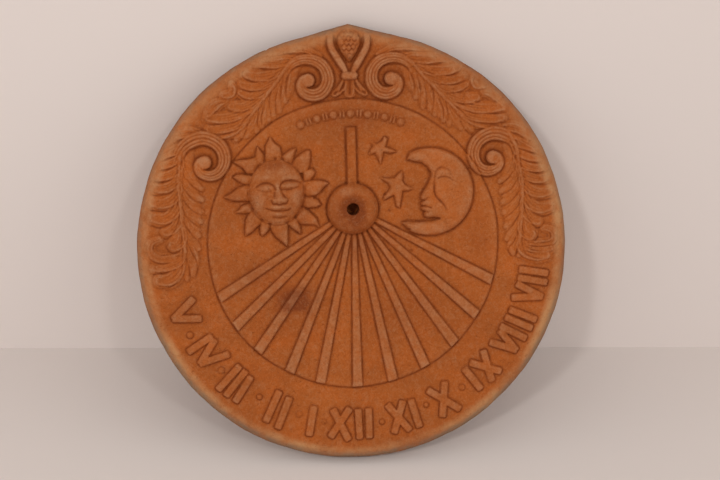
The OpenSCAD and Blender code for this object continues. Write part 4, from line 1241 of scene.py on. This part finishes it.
def build_studio():
    """The floor and the backdrop behind the leaning plaque, the lamps and the pale light all round."""
    # The plaque stands on its lower back edge and its pointed top touches the wall
    c, k = math.cos(math.radians(LEAN)), math.sin(math.radians(LEAN))
    edge_y, edge_z = -BACK_R * MM * (1 - k), -(PLAQUE_R - BACK_R + BACK_R * c) * MM
    run = 0.0019 * c + (PEAK_Z * MM - edge_z) * k
    roll = math.radians(STAGE_ROLL)

    def rolled(x, back, up):
        y, z = edge_y + back * c - up * k, edge_z + back * k + up * c
        return (x * math.cos(roll) + z * math.sin(roll), y, z * math.cos(roll) - x * math.sin(roll))

    for name, colour, rough, ends in (
        ("floor", (208, 194, 186), 0.8, ((-3.0, 0.0), (run, 0.0))),
        ("backdrop", (215, 200, 192), 0.85, ((run, 0.0), (run, 3.0))),
    ):
        corners = [rolled(x, back, up) for back, up in ends for x in (-3, 3)]
        studio_card(name, corners, studio_paper(name + "_paper", srgb(*colour), rough))
    for name, place, power in LAMPS:
        data = bpy.data.lights.new(name, "AREA")
        data.shape, data.size, data.energy, data.color = "DISK", LAMP_SIZE, power, DAYLIGHT
        light = bpy.data.objects.new(name, data)
        light.location = place
        light.rotation_euler = (-Vector(place)).to_track_quat("-Z", "Y").to_euler()
        bpy.context.scene.collection.objects.link(light)
    world = bpy.data.worlds.new("studio")
    world.use_nodes = True
    world.node_tree.nodes["Background"].inputs[0].default_value = (*DAYLIGHT, 1.0)
    world.node_tree.nodes["Background"].inputs[1].default_value = 1.0
    bpy.context.scene.world = world
    bpy.context.scene.view_settings.view_transform = "Standard"


def build_camera():
    """Puts the camera where the plaque is seen as in the picture: a little from the left and above."""
    data = bpy.data.cameras.new("camera")
    data.lens = LENS
    camera = bpy.data.objects.new("camera", data)
    camera.location = CAMERA_PLACE
    camera.rotation_euler = [math.radians(turn) for turn in CAMERA_TURN]
    bpy.context.scene.collection.objects.link(camera)
    bpy.context.scene.camera = camera


class SundialSizes(bpy.types.PropertyGroup):
    __annotations__ = {
        key: bpy.props.IntProperty(name=name, description=use, default=number, min=least, max=most)
        for key, (name, use, number, least, most) in FACETS.items()
    }


class SundialColours(bpy.types.PropertyGroup):
    __annotations__ = {
        key: bpy.props.FloatVectorProperty(
            name=name, description=use, size=4, subtype="COLOR", default=srgb(*rgb))
        for key, (name, use, *rgb) in TONES.items()
    }


class SUNDIAL_OT_plaque(bpy.types.Operator):
    """Build the round slab with its pointed top"""
    bl_idname = "sundial.plaque"
    bl_label = "Plaque"

    def execute(self, context):
        return build_plaque(context.scene.sundial_sizes.round_steps)


class SUNDIAL_OT_dial_field(bpy.types.Operator):
    """Build the raised dial field"""
    bl_idname = "sundial.dial_field"
    bl_label = "Dial field"

    def execute(self, context):
        return build_field(context.scene.sundial_sizes.field_steps)


class SUNDIAL_OT_hub(bpy.types.Operator):
    """Build the hub boss with its socket, and the bar over it"""
    bl_idname = "sundial.hub"
    bl_label = "Hub and bar"

    def execute(self, context):
        build_hub(context.scene.sundial_sizes.hub_steps)
        return build_relief(["upright_bar"], FIELD_FOOT)


class SUNDIAL_OT_hour_lines(bpy.types.Operator):
    """Build the eleven hour lines"""
    bl_idname = "sundial.hour_lines"
    bl_label = "Hour lines"

    def execute(self, context):
        return build_relief(["hour_line_%d" % (i + 1) for i in range(len(HOUR_ENDS))], FIELD_FOOT)


class SUNDIAL_OT_numerals(bpy.types.Operator):
    """Build the hour numerals and the dots between them"""
    bl_idname = "sundial.numerals"
    bl_label = "Numerals"

    def execute(self, context):
        return build_relief(["numeral_%d" % hour for hour in NUMERALS] + ["numeral_dots"], BORDER_FOOT)


class SUNDIAL_OT_sun(bpy.types.Operator):
    """Build the sun's rays and face"""
    bl_idname = "sundial.sun"
    bl_label = "Sun"

    def execute(self, context):
        build_relief(["sun_rays"], FIELD_FOOT)
        return build_relief(["sun_face"], FIELD_FOOT)


class SUNDIAL_OT_moon(bpy.types.Operator):
    """Build the moon and the two stars"""
    bl_idname = "sundial.moon"
    bl_label = "Moon and stars"

    def execute(self, context):
        return build_relief(["moon", "star_small", "star_large"], FIELD_FOOT)


class SUNDIAL_OT_finial(bpy.types.Operator):
    """Build the finial's bud, stems, collar and tassel, and the bead band below them"""
    bl_idname = "sundial.finial"
    bl_label = "Finial and beads"

    def execute(self, context):
        build_relief(["finial_bud"], BORDER_FOOT)
        build_relief(["finial_stems", "finial_collar", "finial_tassel"], BORDER_FOOT)
        return build_relief(["bead_band"], FIELD_FOOT)


class SUNDIAL_OT_scrolls(bpy.types.Operator):
    """Build the four volutes with their acanthus leaves"""
    bl_idname = "sundial.scrolls"
    bl_label = "Scrolls"

    def execute(self, context):
        keys = ["scroll_%s_%s" % (place, hand) for place in ("top", "side") for hand in ("left", "right")]
        return build_relief(keys, SCROLL_FOOT)


class SUNDIAL_OT_stage(bpy.types.Operator):
    """Set up the pale floor and backdrop, the soft lamps and the camera"""
    bl_idname = "sundial.stage"
    bl_label = "Stage"

    def execute(self, context):
        build_studio()
        build_camera()
        return {"FINISHED"}


class SUNDIAL_PT_sidebar(bpy.types.Panel):
    """Lists the sundial's sizes, colours and pieces"""
    bl_idname = "SUNDIAL_PT_sidebar"
    bl_label = "Sundial"
    bl_space_type = "VIEW_3D"
    bl_region_type = "UI"
    bl_category = "Sundial"

    def draw(self, context):
        for group in (context.scene.sundial_sizes, context.scene.sundial_colours):
            for key in group.__annotations__:
                self.layout.prop(group, key)
        for operator in OPERATORS:
            self.layout.operator(operator.bl_idname)


OPERATORS = (
    SUNDIAL_OT_plaque, SUNDIAL_OT_dial_field, SUNDIAL_OT_hub, SUNDIAL_OT_hour_lines, SUNDIAL_OT_numerals,
    SUNDIAL_OT_sun, SUNDIAL_OT_moon, SUNDIAL_OT_finial, SUNDIAL_OT_scrolls, SUNDIAL_OT_stage,
)
CLASSES = (SundialSizes, SundialColours) + OPERATORS + (SUNDIAL_PT_sidebar,)


def register():
    for cls in CLASSES:
        bpy.utils.register_class(cls)
    bpy.types.Scene.sundial_sizes = bpy.props.PointerProperty(type=SundialSizes)
    bpy.types.Scene.sundial_colours = bpy.props.PointerProperty(type=SundialColours)


def unregister():
    del bpy.types.Scene.sundial_colours
    del bpy.types.Scene.sundial_sizes
    for cls in reversed(CLASSES):
        bpy.utils.unregister_class(cls)


def main():
    register()
    for operator in OPERATORS:
        group, name = operator.bl_idname.split(".")
        if getattr(getattr(bpy.ops, group), name)() != {"FINISHED"}:
            raise RuntimeError(operator.bl_label + " was not built")


if __name__ == "__main__":
    main()
